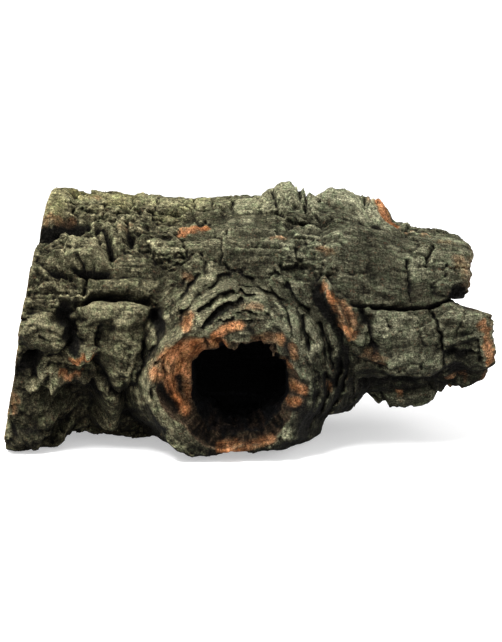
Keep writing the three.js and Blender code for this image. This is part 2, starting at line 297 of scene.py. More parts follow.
LOWER_B = [(-75, 6), (-69, -7), (-61, -20), (-51, -30)]
FACE_RIDGE = [(-50, 31), (-53, 20), (-53, 9), (-48, -5), (-41, -16)]  # on the bare face

# Ridges and clefts round the stub: line, half width, height
STUB_RIDGES = [
    [LIP, 4.6, 8],
    [FOLD_A, 4, 5],
    [[(-16, 47), (-9, 53), (2, 56), (14, 57)], 2.4, 2],
    [FOLD_B, 3.4, 5],
    [FOLD_C, 4.4, 5],
    [FOLD_D, 5, 3],
    [LUMP, 7, 5],
    [RIGHT_A, 3.4, 4],
    [RIGHT_B, 4, 4],
    [RIGHT_C, 4, 4],
    [EAR, 3, 3],
    [[(55, 29), (60, 20), (63, 11)], 4, 3],
    [HOLE_LUMP, 5, 4],
    [[(14, 41), (24, 43), (34, 39)], 4, 3],
    [LOWER_A, 4, 4],
    [LOWER_B, 3.4, 3],
    [[(-38, -28), (-29, -37), (-17, -42)], 4, 3],
    [[(-15, -44), (-7, -47), (6, -44), (27, -43)], 3, 3],
]
STUB_CLEFTS = [
    [[(-63, 21), (-57, 28), (-50, 33), (-40, 37), (-33, 40), (-26, 41)], 2, -8],
    [[(-23, 40), (-19, 48), (-12, 54), (-3, 55)], 1.8, -6],
    [[(-30, 47), (-24, 54), (-19, 57), (-12, 61), (-6, 65), (2, 68)], 2.8, -11],
    [[(-29, 61), (-23, 66), (-18, 71), (-12, 73), (-4, 76)], 2, -8],
    [[(3, 75), (7, 71), (14, 72)], 1.8, -6],
    [[(-44, 70), (-40, 76), (-36, 81), (-30, 88)], 1.8, -6],
    [[(-14, 86), (-5, 87), (0, 90), (5, 85), (11, 83)], 1.7, -5],
    [[(-43, 49), (-42, 59)], 2, -5],
    [[(-39, 51), (-37, 58)], 4, -4],
    [[(-33, 51), (-32, 58)], 1.6, -5],
    [[(40, 78), (45, 71), (50, 65), (55, 60)], 2.2, -9],
    [[(61, 76), (65, 65), (73, 55), (80, 42)], 5, -9],
    [[(39, 59), (41, 47), (41, 38)], 1.6, -5],
    [[(51, 54), (53, 41), (55, 31)], 2, -6],
    [[(65, 48), (68, 32), (71, 18)], 2, -6],
    [[(81, 40), (81, 28), (79, 10), (77, -2)], 3, -8],
    [[(38, 33), (38, 27)], 3.6, -8],
    [[(8, 48), (13, 43)], 3, -7],
    [[(38, 10), (45, 10), (52, 5)], 1.4, -5],
    [[(41, -4), (49, -4), (53, -8)], 1.4, -4],
    [[(36, -17), (44, -15), (50, -10)], 2, -5],
    [[(-67, 3), (-63, -9), (-55, -20), (-43, -25)], 2.2, -8],
    [[(-41, -22), (-37, -31), (-27, -38)], 2.2, -6],
    [[(-76, 37), (-71, 28), (-77, 16)], 2, -5],
    [[(-58, 48), (-62, 35), (-71, 21), (-77, 12)], 2.2, -9],
    [[(-64, 54), (-60, 49)], 5, -12],
    [[(19, 75), (27, 67), (35, 56)], 1.1, -2.6],  # wrinkles and scratches
    [[(24, 68), (31, 58), (38, 47)], 1.1, -2.6],
    [[(16, 64), (24, 57), (30, 51)], 1.1, -2.6],
    [[(27, 75), (34, 66), (39, 59)], 1.1, -2.6],
    [[(11, 80), (22, 74), (30, 70)], 1.1, -2.6],
    [[(20, 62), (27, 55), (31, 46)], 1.1, -2.6],
    [[(-36, 64), (-30, 71), (-22, 78), (-12, 82), (-2, 83)], 1.1, -3.4],  # lines between the folds
    [[(-27, 56), (-20, 62), (-12, 66)], 1, -3],
    [[(-38, 62), (-33, 70), (-25, 78), (-15, 83)], 1, -3],
    [[(-20, 50), (-13, 57), (-4, 60), (6, 61), (14, 59)], 1.1, -3.4],
    [[(0, 71), (16, 69), (26, 63), (34, 54)], 1.1, -3],
    [[(0, 79), (14, 77), (28, 71), (38, 61)], 1.1, -3.4],
    [[(-46, 76), (-41, 84), (-34, 91)], 1.1, -3],
    [[(-49, 96), (-56, 82), (-64, 67)], 1.3, -2],
    [[(-42, 90), (-50, 75), (-56, 59)], 1.3, -2],
    [[(-51, 68), (-52, 55)], 1.3, -2],
    [[(-45, 68), (-46, 54)], 1.3, -2],
    [[(-48, 84), (-54, 70)], 1.1, -1.6],
    [[(40, 22), (50, 24), (56, 18)], 1.3, -3],
    [[(60, 4), (60, -12), (54, -26)], 2, -6],
    [[(68, 8), (69, -8), (64, -24), (56, -38)], 2.4, -8],
    [[(66, 46), (72, 30), (75, 14)], 1.6, -5],
    [[(86, 30), (86, 10), (80, -10), (70, -28)], 3, -8],
    [[(47, 62), (50, 50), (50, 38)], 1.4, -4],
    [[(58, -22), (62, -34)], 1.6, -3],
    [[(-20, -44), (-32, -40), (-46, -32), (-58, -30)], 2, -6],
    [[(-70, -10), (-62, -26), (-50, -38), (-34, -46)], 2.4, -7],
    [[(46, -20), (49, -40)], 1.6, -3],
]
# Ridges and clefts on the bare face inside the rim
FACE_LINES = [
    [FACE_RIDGE, 3, 5],
    [[(-56, 28), (-57, 19), (-55, 8), (-51, -3)], 1.6, -5],
    [[(-46, 8), (-44, 0)], 4, -5],
    [[(-60, 3), (-54, -8), (-47, -14)], 4, -5],
    [[(-25, 41), (-23, 34)], 1.5, -5],
    [[(-15, 40), (-13, 35)], 3, -6],
    [[(-44, 30), (-42, 22)], 1.2, -2],
    [[(26, 31), (28, 21)], 3, 5],
    [[(-40, 18), (-37, 4)], 3, 2],
]

# Places of smoother bark: begin, full, still full, end along X, then the same for the angle, and how smooth
CALM_PLACES = [
    [58, 92, 300, 301, -64, -46, 66, 84, 0.85],  # the two lobes
    [-124, -118, -68, -58, 14, 18, 30, 40, 0.5],  # band over the level cleft
    [-134, -120, -66, -52, -60, -48, 6, 16, 0.6],  # oval plates
    [-64, -48, 50, 72, 20, 34, 56, 66, 0.2],  # slope over the stub
    [-172, -164, -145, -138, 54, 60, 181, 182, 0.45],  # block at the sawn end
    [-122, -116, -80, -74, 2, 5, 12, 15, 0.9],  # slab
    [-134, -122, 24, 40, 69, 76, 100, 112, 0.5],  # band along the top
    [88, 96, 300, 301, -130, -110, -52, -40, 0.6],  # underside of the right part
]
MOST_CALM = 0.92

# Bark plates: long cells along the tube, with cracks between them
PLATE_LENGTH = 44
PLATES_ROUND = 22

# How a cleft's depth falls off from its line: 1 is a sharp V and 2 a round groove
CLEFT_POWER = 1.7

# The mesh, in mm: fine step, fine steps in a block, coarse step of the back and the hollow, and its box
VOXEL = 1.12
BLOCK = 4
COARSE_STEP = 2.7
MESH_LOW = np.array([-200.0, -136.0, -6.0])
MESH_HIGH = np.array([216.0, 114.0, 218.0])
# Blocks this near the surface get fine steps
NEAR_SURFACE = 12
# Angle from the front up to which the mesh stays fine, and where along X the front is split into pieces
FRONT_REACH = 98
FRONT_SPLITS = (-90, -5, 70)

# Maps: step along X or outward in mm, step round in degrees, and their reach in mm
MAP_STEP = 0.8
MAP_TURN = 0.45
MAP_X = (-232.0, 232.0)
MAP_RHO = 190.0


def mix(a, b, t):
    return a + (b - a) * t


def smooth(low, high, v):
    t = np.clip((v - low) / (high - low), 0, 1)
    return t * t * (3 - 2 * t)


def between(v, low, low_full, high_full, high):
    """1 from low_full to high_full, eased to 0 at low and at high."""
    return smooth(low, low_full, v) * smooth(high, high_full, v)


def wrap_degrees(a):
    return a - 360 * np.round(a / 360)


def smooth_less(a, b, k):
    """The lesser of two distances, blended over k."""
    h = np.clip(0.5 + 0.5 * (b - a) / k, 0, 1)
    return mix(b, a, h) - k * h * (1 - h)


def smooth_more(a, b, k):
    return -smooth_less(-a, -b, k)


def row_at(table, key, column):
    """A column of a table at keys between its rows, eased."""
    i = np.clip(np.searchsorted(table[:, 0], key, side="left") - 1, 0, len(table) - 2)
    t = smooth(table[i, 0], table[i + 1, 0], key)
    return mix(table[i, column], table[i + 1, column], t)


def cell_number(i, j, salt):
    s = np.sin(i * 127.1 + j * 311.7 + salt * 74.7) * 43758.5453
    return s - np.floor(s)


def noise(u, v, around, salt):
    """Smooth noise from -1 to 1 that repeats every `around` cells in its second direction."""
    i = np.floor(u)
    j = np.floor(v)
    fu = smooth(0, 1, u - i)
    fv = smooth(0, 1, v - j)
    j0 = np.mod(j, around)
    j1 = np.mod(j + 1, around)
    low = mix(cell_number(i, j0, salt), cell_number(i + 1, j0, salt), fu)
    high = mix(cell_number(i, j1, salt), cell_number(i + 1, j1, salt), fu)
    return 2 * mix(low, high, fv) - 1


def layers(u, v, around, salt, octaves):
    """Noise of several octaves."""
    total = np.zeros_like(u)
    for k in range(octaves):
        total += noise(u * 2**k, v * 2**k, around * 2**k, salt + 7 * k) * 0.55**k
    return total


def cells(u, v, around, salt):
    """Gap to the border of the cell round each point, and a number from 0 to 1 for that cell."""
    i = np.floor(u)
    j = np.floor(v)
    nearest = np.full_like(u, 9.0)
    second = np.full_like(u, 9.0)
    number = np.zeros_like(u)
    for di in (-1, 0, 1):
        for dj in (-1, 0, 1):
            ci = i + di
            cj = np.mod(j + dj, around)
            du = ci + 0.15 + 0.7 * cell_number(ci, cj, salt) - u
            dv = j + dj + 0.15 + 0.7 * cell_number(ci, cj, salt + 1) - v
            d = np.hypot(du, dv)
            closer = d < nearest
            second = np.where(closer, nearest, np.minimum(second, d))
            number = np.where(closer, cell_number(ci, cj, salt + 2), number)
            nearest = np.where(closer, d, nearest)
    return second - nearest, number


def chip(gap, number, edge, drop, spread):
    """Height or tone of chips: less at their borders, and another for each chip."""
    return drop * (smooth(0, edge, gap) - 1) + spread * (number - 0.5)


def terraces(field, edge):
    """A field cut into level steps; past the edge it rises to the next one."""
    level = np.floor(field)
    return level + smooth(edge, 1, field - level)


def blur(field, cells_along, cells_round):
    """Gaussian blur of a map, in map cells; the second direction repeats."""
    along = np.pad(field, ((40, 40), (0, 0)), mode="edge")
    fu = np.fft.fftfreq(along.shape[0])[:, None]
    fv = np.fft.rfftfreq(along.shape[1])[None, :]
    keep = np.exp(-2 * (np.pi**2) * ((fu * cells_along) ** 2 + (fv * cells_round) ** 2))
    out = np.fft.irfft2(np.fft.rfft2(along) * keep, s=along.shape)
    return out[40:-40]


def sample(field, u, v):
    """A map at fractional cells; the second direction repeats."""
    u = np.clip(u, 0, field.shape[0] - 1.001)
    i = u.astype(np.int32)
    fu = (u - i).astype(np.float32)
    v = np.mod(v, field.shape[1])
    j = np.minimum(v.astype(np.int32), field.shape[1] - 1)
    fv = (v - j).astype(np.float32)
    j1 = np.where(j + 1 == field.shape[1], 0, j + 1)
    low = field[i, j] * (1 - fu) + field[i + 1, j] * fu
    high = field[i, j1] * (1 - fu) + field[i + 1, j1] * fu
    return low * (1 - fv) + high * fv


def along_lines(rows, x, angle, power):
    """The sum of the forms of a list at places on the chart."""
    total = np.zeros_like(x)
    for x0, a0, x1, a1, width, rise in rows:
        across = wrap_degrees(angle - a0) * DEG * CHART_R
        run = x1 - x0
        climb = (a1 - a0) * DEG * CHART_R
        t = np.clip(((x - x0) * run + across * climb) / (run * run + climb * climb + 1e-9), 0, 1)
        d = np.hypot(x - x0 - t * run, across - t * climb) / width
        total += rise * np.exp(-(np.minimum(d, 4) ** power))
    return total


def deepest_line(rows, x, angle, swell):
    """The deepest cleft of a list at places on the chart, V-shaped and as ragged as the swell."""
    deepest = np.zeros_like(x)
    for x0, a0, x1, a1, width, rise in rows:
        across = wrap_degrees(angle - a0) * DEG * CHART_R
        run = x1 - x0
        climb = (a1 - a0) * DEG * CHART_R
        t = np.clip(((x - x0) * run + across * climb) / (run * run + climb * climb + 1e-9), 0, 1)
        d = np.hypot(x - x0 - t * run, across - t * climb) / (width * swell)
        deepest = np.minimum(deepest, rise * np.exp(-(np.minimum(d, 4) ** CLEFT_POWER)))
    return deepest


def stroke_distance(points, right, up):
    """Distance to a line through points."""
    nearest = np.full_like(right, 1e9)
    for (x0, z0), (x1, z1) in zip(points[:-1], points[1:]):
        run = x1 - x0
        climb = z1 - z0
        t = np.clip(((right - x0) * run + (up - z0) * climb) / (run * run + climb * climb), 0, 1)
        nearest = np.minimum(nearest, np.hypot(right - x0 - t * run, up - z0 - t * climb))
    return nearest


def along_strokes(strokes, right, up, power):
    """The sum of the lines of a list, each points, half width and height."""
    total = np.zeros_like(right)
    for points, width, rise in strokes:
        d = np.minimum(stroke_distance(points, right, up) / width, 4)
        total += rise * np.exp(-(d**power))
    return total


def deepest_stroke(strokes, right, up, swell):
    """The deepest cleft of a list of lines round the stub."""
    deepest = np.zeros_like(right)
    for points, width, rise in strokes:
        d = np.minimum(stroke_distance(points, right, up) / (width * swell), 4)
        deepest = np.minimum(deepest, rise * np.exp(-(d**CLEFT_POWER)))
    return deepest


def section_radius(x, angle):
    """Radius of the smooth oval section."""
    c = np.cos(angle * DEG)
    s = np.sin(angle * DEG)
    front = np.where(c > 0, row_at(SECTIONS, x, 1), row_at(SECTIONS, x, 3))
    top = np.where(s > 0, row_at(SECTIONS, x, 2), row_at(SECTIONS, x, 4))
    return 1 / np.hypot(c / front, s / top)


class TubeMaps:
    """Maps over x and angle: the smooth section, the bore and the full bark relief."""

    def __init__(self):
        self.x = np.arange(MAP_X[0], MAP_X[1], MAP_STEP)
        self.angle = np.arange(0, 360, MAP_TURN)
        x, angle = np.meshgrid(self.x, self.angle, indexing="ij")
        turn = (angle + 360) / 360
        self.section = section_radius(x, angle)
        wobble_x = 1.9 * layers(x / 16, turn * 40, 40, 11, 3)
        wobble_a = 1.9 * layers(x / 16, turn * 40, 40, 12, 3) / (CHART_R * DEG)
        xw = x + wobble_x
        aw = angle + wobble_a
        soft = along_lines(SOFT_FORMS, xw, aw, 3)
        steep = along_lines(STEEP_FORMS, xw, aw, 5)
        fine_x = x + 0.45 * wobble_x
        fine_a = angle + 0.45 * wobble_a
        swell = 1.0 + 0.5 * layers(x / 9, turn * 66, 66, 13, 3)
        fine_x = fine_x + 1.1 * layers(x / 5, turn * 130, 130, 14, 2)
        fine_a = fine_a + 1.1 * layers(x / 5, turn * 130, 130, 15, 2) / (CHART_R * DEG)
        cleft = 1.1 * deepest_line(CLEFTS, fine_x, fine_a, np.clip(swell, 0.3, 2))
        self.cut = cleft
        follow = np.clip(soft + steep + cleft, -14, 10)
        self.bore = np.maximum(LEAST_BORE, self.section - WALL + BORE_FOLLOW * blur(follow, 8, 8))
        self.open = self.away_from_stub(x, angle)
        bark, grain = self.bark(x, turn, wrap_degrees(angle))
        self.smooth = self.section + soft
        self.relief = steep + cleft + self.open * bark + 0.6 * grain
        self.radius = self.smooth + self.relief
        self.lean_x = 0.7 * noise(x / 22, turn * 28, 28, 51)
        self.lean_a = 0.7 * noise(x / 22, turn * 28, 28, 52)

    def away_from_stub(self, x, angle):
        """0 under the stub's collar and 1 off it."""
        dz = AXIS_Z + self.section * np.sin(angle * DEG) - STUB_Z
        front = smooth(0, 0.4, np.cos(angle * DEG))
        return 1 - front * (1 - smooth(78, 97, np.hypot(x - STUB_X, dz)))

    def bark(self, x, turn, angle):
        """Height of the plates, blocks and ragged layers, and the fine grain that is everywhere."""
        calm = np.zeros_like(x)
        for x0, x1, x2, x3, a0, a1, a2, a3, amount in CALM_PLACES:
            calm += amount * between(x, x0, x1, x2, x3) * between(angle, a0, a1, a2, a3)
        calm = 1 - np.clip(calm, 0, MOST_CALM)
        lower = between(angle, -150, -110, -24, -6)
        given = between(x, -176, -166, -66, -54) * between(angle, -58, -46, 54, 62)
        ragged_u = layers(x / 9, turn * 70, 70, 21, 3)
        ragged_v = layers(x / 9, turn * 70, 70, 22, 3)
        u = x / PLATE_LENGTH + 0.45 * noise(x / 60, turn * 12, 12, 1) + 0.10 * ragged_u
        v = turn * PLATES_ROUND + 0.45 * noise(x / 60, turn * 12, 12, 2) + 0.18 * ragged_v
        gap, number = cells(u, v, PLATES_ROUND, 3)
        height = 4.5 * (smooth(0, 0.10, gap) - 1) + 5.5 * (number - 0.5) * smooth(0, 0.12, gap) + 2
        height *= mix(0.35, 1, calm) * mix(1, 0.3, given)

        rough = smooth(-0.5, 0.6, noise(x / 48, turn * 13, 13, 31) - 0.003 * (x - 10)) * calm
        gap, number = cells(x / 16 + 0.22 * ragged_u, turn * 62 + 0.22 * ragged_v, 62, 33)
        blocks = 2.2 * (smooth(0, 0.13, gap) - 1) + 2.8 * (number - 0.5) * smooth(0, 0.15, gap)
        height += blocks * mix(0.12, 1, rough) * mix(1, 0.75, given)
        self.tone = 0.5 * (number - 0.5) * rough
        height += 1.3 * terraces(2.6 * layers(x / 30, turn * 36, 36, 41, 5), 0.80) * mix(0.15, 1, calm)
        height += 0.8 * terraces(2.2 * layers(x / 11, turn * 110, 110, 45, 4), 0.70) * mix(0.25, 1, calm)

        share = mix(0.10, 1.0, calm * np.maximum(rough, 0.6 * lower))
        gap, number = cells(x / 6 + 0.4 * ragged_u, turn * 150 + 0.4 * ragged_v, 150, 35)
        height += chip(gap, number, 0.13, 1.6, 2.4) * share
        self.tone += (chip(gap, number, 0.16, 0.9, 1.1) + 0.2) * share
        gap, number = cells(x / 3.6 + 0.4 * ragged_u, turn * 220 + 0.4 * ragged_v, 220, 37)
        height += chip(gap, number, 0.2, 0.8, 1.0) * share
        self.tone += 0.7 * (number - 0.5) * share
        self.tone *= self.open
        grain = 0.5 * layers(x / 18, turn * 240, 240, 43, 2) * mix(0.5, 1, calm)
        grain += 0.5 * layers(x / 3.4, turn * 185, 185, 44, 2) * mix(0.2, 1, calm * rough)
        return height * mix(1, 1.05, lower), grain

    def at(self, field, x, angle):
        return sample(field, (x - MAP_X[0]) / MAP_STEP, angle / MAP_TURN)


class StubMaps:
    """Maps over the distance from the stub's axis and the angle round it: its front and its collar."""

    def __init__(self):
        self.rho = np.arange(0, MAP_RHO, MAP_STEP)
        self.angle = np.arange(0, 360, MAP_TURN)
        rho, angle = np.meshgrid(self.rho, self.angle, indexing="ij")
        turn = (angle + 360) / 360
        key = wrap_degrees(angle)
        self.rim = row_at(STUB, key, 1) + 2.4 * layers(rho / 60, turn * 26, 26, 61, 4)
        collar = row_at(STUB, key, 2)
        back = row_at(STUB, key, 4) + 1.6 * layers(rho / 60, turn * 16, 16, 62, 3)
        share = (rho - self.rim) / collar
        inside = np.clip(share, 0, 1)
        drop = COLLAR_EDGE_DROP * np.sqrt(inside) + COLLAR_DROP * inside
        beyond = np.maximum(0, rho - self.rim - collar) * 3.0
        lip = 3 * smooth(self.rim - STUB_EDGE, self.rim + 1, rho) ** 2
        self.smooth = STUB_TIP_Y + back + lip + drop + beyond
        right = rho * np.cos(angle * DEG)
        up = rho * np.sin(angle * DEG)
        drift = 0.9 * layers(right / 7 + 40, up / 7 + 40, 400, 65, 3)
        lift = 1.35 * along_strokes(STUB_RIDGES, right + drift, up - drift, 3)
        swell = np.clip(0.85 + 0.5 * layers(right / 9 + 80, up / 9 + 80, 400, 59, 3), 0.3, 2)
        self.cut = 1.5 * deepest_stroke(STUB_CLEFTS, right + drift, up - drift, swell)
        self.cut *= smooth(-7, 1, rho - self.rim)
        lift = lift * smooth(-7, 1, rho - self.rim) + self.cut
        top = smooth(20, 45, key) * smooth(158, 138, key)
        lift += self.bands(rho, turn, share) * smooth(-2, 10, rho - self.rim) * mix(1, 0.25, top)
        self.face = along_strokes(FACE_LINES, right + drift, up - drift, 2.6)
        grain = 0.7 * layers(turn * 26, rho / 2.0 + 30, 400, 63, 2)
        grain += 0.4 * layers(turn * 100, rho / 2.8 + 30, 400, 64, 2)
        grain += 0.8 * layers(right / 9 + 60, up / 9 + 60, 400, 68, 4)
        rough = mix(1.0, 0.25, smooth(-5, 35, key) * smooth(200, 150, key))
        gap, number = cells(right / 5.5 + 50 + 0.3 * drift, up / 5.5 + 50 + 0.3 * drift, 400, 60)
        grain += chip(gap, number, 0.13, 1.4, 1.9) * rough
        self.tone = (chip(gap, number, 0.16, 0.9, 1.0) + 0.2) * rough
        grain += 1.1 * terraces(2.4 * layers(rho / 9 + 30, turn * 13, 13, 69, 5), 0.84)
        self.lift = lift + grain * smooth(-12, -2, rho - self.rim)
        self.front = self.smooth - self.lift

    def bands(self, rho, turn, share):
        """Lesser folds that run on round the collar, each with a steep inner side."""
        wander = 0.9 * layers(share * 1.5 + 3.1, turn * 9, 9, 66, 3)
        wave = 0.13 * (rho - self.rim) + wander
        part = wave - np.floor(wave)
        lip = smooth(0, 0.22, part) * (1 - part) ** 0.7
        strength = 0.25 + 0.75 * cell_number(np.floor(wave), np.floor(turn * 9 + wander), 67)
        outside = smooth(-2, 8, rho - self.rim)
        # For the colour: painted shade as a dark line at each fold's steep inner side, and painted light on
        # its lip, paler at the crest and darker at the foot.
        self.fold_line_shade = strength * outside * (1 - smooth(0.06, 0.16, np.minimum(part, 1.06 - part)))
        self.fold_lip_light = strength * outside * (lip - 0.4)
        return 9.0 * (lip - 0.4) * strength

    def at(self, field, rho, angle):
        return sample(field, rho / MAP_STEP, angle / MAP_TURN)


tube = TubeMaps()
stub = StubMaps()


def places(p):
    """Where points are: round the tube's axis and round the stub's."""
    x, y, z = p[:, 0], p[:, 1], p[:, 2]
    r = np.hypot(y, z - AXIS_Z)
    angle = np.degrees(np.arctan2(z - AXIS_Z, -y))
    rho = np.hypot(x - STUB_X, z - STUB_Z)
    theta = np.degrees(np.arctan2(z - STUB_Z, x - STUB_X))
    return r, angle, rho, theta


def broken_edge(x, r, angle):
    """Where along X the broken end lies."""
    turn = (angle + 360) / 360
    end = row_at(BROKEN_END, wrap_degrees(angle), 1) + 5 * noise(np.full_like(x, 0.5), turn * 26, 26, 6)
    return end + 2.5 * noise(r / 6, turn * 60, 60, 71) + 1.4 * noise(r / 2.5, turn * 140, 140, 72)


def branch_hole(y, rho, theta):
    """How far points are inside the branch hole, which has a wide mouth, a crumbly top and a fringe below."""
    depth = y - STUB_TIP_Y
    key = wrap_degrees(theta)
    turn = (theta + 360) / 360
    ragged = 1.8 * layers(depth / 16, turn * 18, 18, 74, 3)
    ragged += between(key, 10, 40, 96, 118) * 3.2 * layers(depth / 7 + 0.3, turn * 42, 42, 75, 3)
    below = between(key, -175, -130, -50, -10)
    ragged -= below * smooth(3, 16, depth) * (1 + 2.0 * layers(depth / 9, turn * 90, 90, 76, 2))
    ragged -= below * FRINGE * smooth(14, 50, depth) * (1 + 0.25 * layers(depth / 8, turn * 60, 60, 77, 3))
    mouth = row_at(STUB, key, 3) * (1 - smooth(0, MOUTH_DEPTH, depth))
    face = stub.at(stub.face, rho, theta) * smooth(34, 18, depth)
    return np.minimum(row_at(HOLE_EDGE, key, 1) + mouth + ragged - face - rho, STUB_CUT_Y - y)


def surfaces(p):
    """Distances to each surface of the bark, less than 0 inside the cork."""
    x, y, z = p[:, 0], p[:, 1], p[:, 2]
    r, angle, rho, theta = places(p)
    above = np.clip(r - tube.at(tube.smooth, x, angle), -9, 9)
    xs = x + above * tube.at(tube.lean_x, x, angle)
    angles = angle + above * tube.at(tube.lean_a, x, angle) / (CHART_R * DEG)
    near = 1 - tube.at(tube.open, x, angle)
    bark = r - tube.at(tube.radius, xs, angles) - near * stub.at(stub.lift, rho + 0.4 * above, theta)
    tip = np.clip(stub.at(stub.smooth, rho, theta) - y, -8, 8)
    collar = 0.75 * (stub.at(stub.front, rho + 0.4 * tip, theta) - y)
    collar = np.maximum(collar, y + COLLAR_BACK)
    end = x - broken_edge(x, r, angle)
    skin = smooth_more(smooth_less(bark, collar, 7), end, END_ROUND)
    saw = -(x - LEFT_X) * math.cos(CUT_LEAN) + z * math.sin(CUT_LEAN)
    bore = tube.at(tube.bore, x, angle) + 1.2 * noise(x / 26, (angle + 360) / 6, 60, 73) - r
    return skin, saw, bore, branch_hole(y, rho, theta), -z, bark, collar, end


def field(p):
    """Distance to the whole surface, less than 0 inside the cork."""
    skin, saw, bore, hole, floor = surfaces(p)[:5]
    f = smooth_more(smooth_more(skin, saw, 2), floor, 6)
    return np.maximum(f, np.maximum(bore, hole))


def skin_mesh():
    """Points and quads of the surface, from its distance on a grid near it."""
    step = VOXEL * BLOCK
    count = np.ceil((MESH_HIGH - MESH_LOW) / step).astype(int)
    at = [MESH_LOW[k] + (np.arange(count[k]) + 0.5) * step for k in range(3)]
    coarse_at = np.stack(np.meshgrid(*at, indexing="ij"), -1).reshape(-1, 3)
    coarse = field(coarse_at).reshape(count)
    near = np.argwhere(np.abs(coarse) < NEAR_SURFACE)
    fine = np.sign(coarse).astype(np.float32) * 3 * VOXEL
    for axis in range(3):
        fine = np.repeat(fine, BLOCK, axis=axis)
    offsets = np.argwhere(np.ones((BLOCK, BLOCK, BLOCK), bool))
    for part in np.array_split(near, max(1, len(near) // 12000)):
        index = (part[:, None, :] * BLOCK + offsets[None]).reshape(-1, 3)
        values = field(MESH_LOW + (index + 0.5) * VOXEL)
        fine[index[:, 0], index[:, 1], index[:, 2]] = np.clip(values, -3 * VOXEL, 3 * VOXEL)
    grid = openvdb.FloatGrid(3 * VOXEL)
    grid.copyFromArray(fine)
    points, quads = grid.convertToQuads(0)
    return MESH_LOW + (points + 0.5) * VOXEL, quads.astype(np.int64)


def largest_part(points, quads):
    """Drops crumbs that hang free of the piece."""
    label = np.arange(len(points))
    ends = np.concatenate([quads[:, [0, 1]], quads[:, [1, 2]], quads[:, [2, 3]]])
    while True:
        least = np.minimum(label[ends[:, 0]], label[ends[:, 1]])
        new = label.copy()
        np.minimum.at(new, ends[:, 0], least)
        np.minimum.at(new, ends[:, 1], least)
        new = new[new]
        if np.array_equal(new, label):
            break
        label = new
    names, sizes = np.unique(label, return_counts=True)
    keep = label == names[np.argmax(sizes)]
    number = np.cumsum(keep) - 1
    kept = quads[keep[quads[:, 0]]]
    return points[keep], number[kept]


def merged(points, keep):
    """The number of each point once those that needn't be kept are merged in cells of COARSE_STEP."""
    cell = np.floor(points / COARSE_STEP).astype(np.int64)
    cell -= cell.min(axis=0)
    size = cell.max(axis=0) + 1
    key = (cell[:, 0] * size[1] + cell[:, 1]) * size[2] + cell[:, 2]
    key = np.where(keep, key.max() + 1 + np.arange(len(points)), key)
    return np.unique(key, return_inverse=True)[1]


def whole_faces(quads):
    """Quads with four different points, and the triangles left where two neighbours are one point."""
    same = [quads[:, k] == quads[:, (k + 1) % 4] for k in range(4)]
    crossed = (quads[:, 0] == quads[:, 2]) | (quads[:, 1] == quads[:, 3])
    count = np.sum(same, axis=0)
    triangles = []
    for k in range(4):
        rows = quads[same[k] & (count == 1) & ~crossed]
        triangles.append(rows[:, [k, (k + 2) % 4, (k + 3) % 4]])
    return quads[(count == 0) & ~crossed], np.concatenate(triangles)


class Averager:
    """Averages values over each point's neighbours."""

    def __init__(self, count, quads):
        ends = np.concatenate([quads[:, [k, (k + 1) % 4]] for k in range(4)])
        self.a = ends[:, 0]
        self.b = ends[:, 1]
        self.count = count
        neighbours = np.bincount(self.a, minlength=count) + np.bincount(self.b, minlength=count)
        self.share = 1 / np.maximum(1, neighbours)

    def once(self, v):
        total = np.bincount(self.a, weights=v[self.b], minlength=self.count)
        total += np.bincount(self.b, weights=v[self.a], minlength=self.count)
        return total * self.share

    def times(self, v, n):
        if v.ndim == 2:
            return np.stack([self.times(v[:, k], n) for k in range(v.shape[1])], -1)
        for _ in range(n):
            v = 0.5 * (v + self.once(v))
        return v


def point_normals(points, quads):
    """A normal for each point, from the quads round it."""
    a = points[quads[:, 2]] - points[quads[:, 0]]
    b = points[quads[:, 3]] - points[quads[:, 1]]
    face = np.cross(a, b)
    normals = np.zeros_like(points)
    for corner in range(4):
        for axis in range(3):
            normals[:, axis] += np.bincount(quads[:, corner], weights=face[:, axis], minlength=len(points))
    return normals / np.maximum(1e-9, np.linalg.norm(normals, axis=1))[:, None]


# Colours of the bark, linear, and how much of them the light leaves
DAYLIGHT = 0.79
BARK_DARK = np.array([0.035, 0.032, 0.019])
BARK_MID = np.array([0.090, 0.084, 0.050])
BARK_PALE = np.array([0.300, 0.282, 0.172])
WARM = np.array([1.04, 1.0, 0.95])
COOL = np.array([0.97, 1.0, 1.05])
OLIVE = np.array([0.165, 0.155, 0.062])
# Painted shade: the near black of crevices, clefts and hollows
CREVICE_SHADE = np.array([0.005, 0.0045, 0.004])
BROWN = np.array([0.075, 0.052, 0.030])
CORK = np.array([0.230, 0.086, 0.031])
CORK_PALE = np.array([0.40, 0.185, 0.084])
# Painted shade inside the bore and the hole: near black deep in, browner near the openings
HOLLOW_SHADE = np.array([0.0040, 0.0040, 0.0044])
MOUTH_BROWN = np.array([0.050, 0.033, 0.020])
HOLLOW_EDGE = np.array([0.030, 0.018, 0.011])
# How deep the bare face reaches into the stub's hole, in mm
FACE_DEPTH = 24
# Length of the grain round the tube and round the stub, in mm
GRAIN_ROUND = 628
STUB_GRAIN_ROUND = 400
# Colours that the material adds
FLECK = (0.25, 0.26, 0.17, 1)
RUST = (0.20, 0.095, 0.055, 1)
GREEN_CAST = (0.84, 1.0, 0.90, 1)
PORE = (0.16, 0.08, 0.06, 1)
RING = (0.62, 0.48, 0.42, 1)
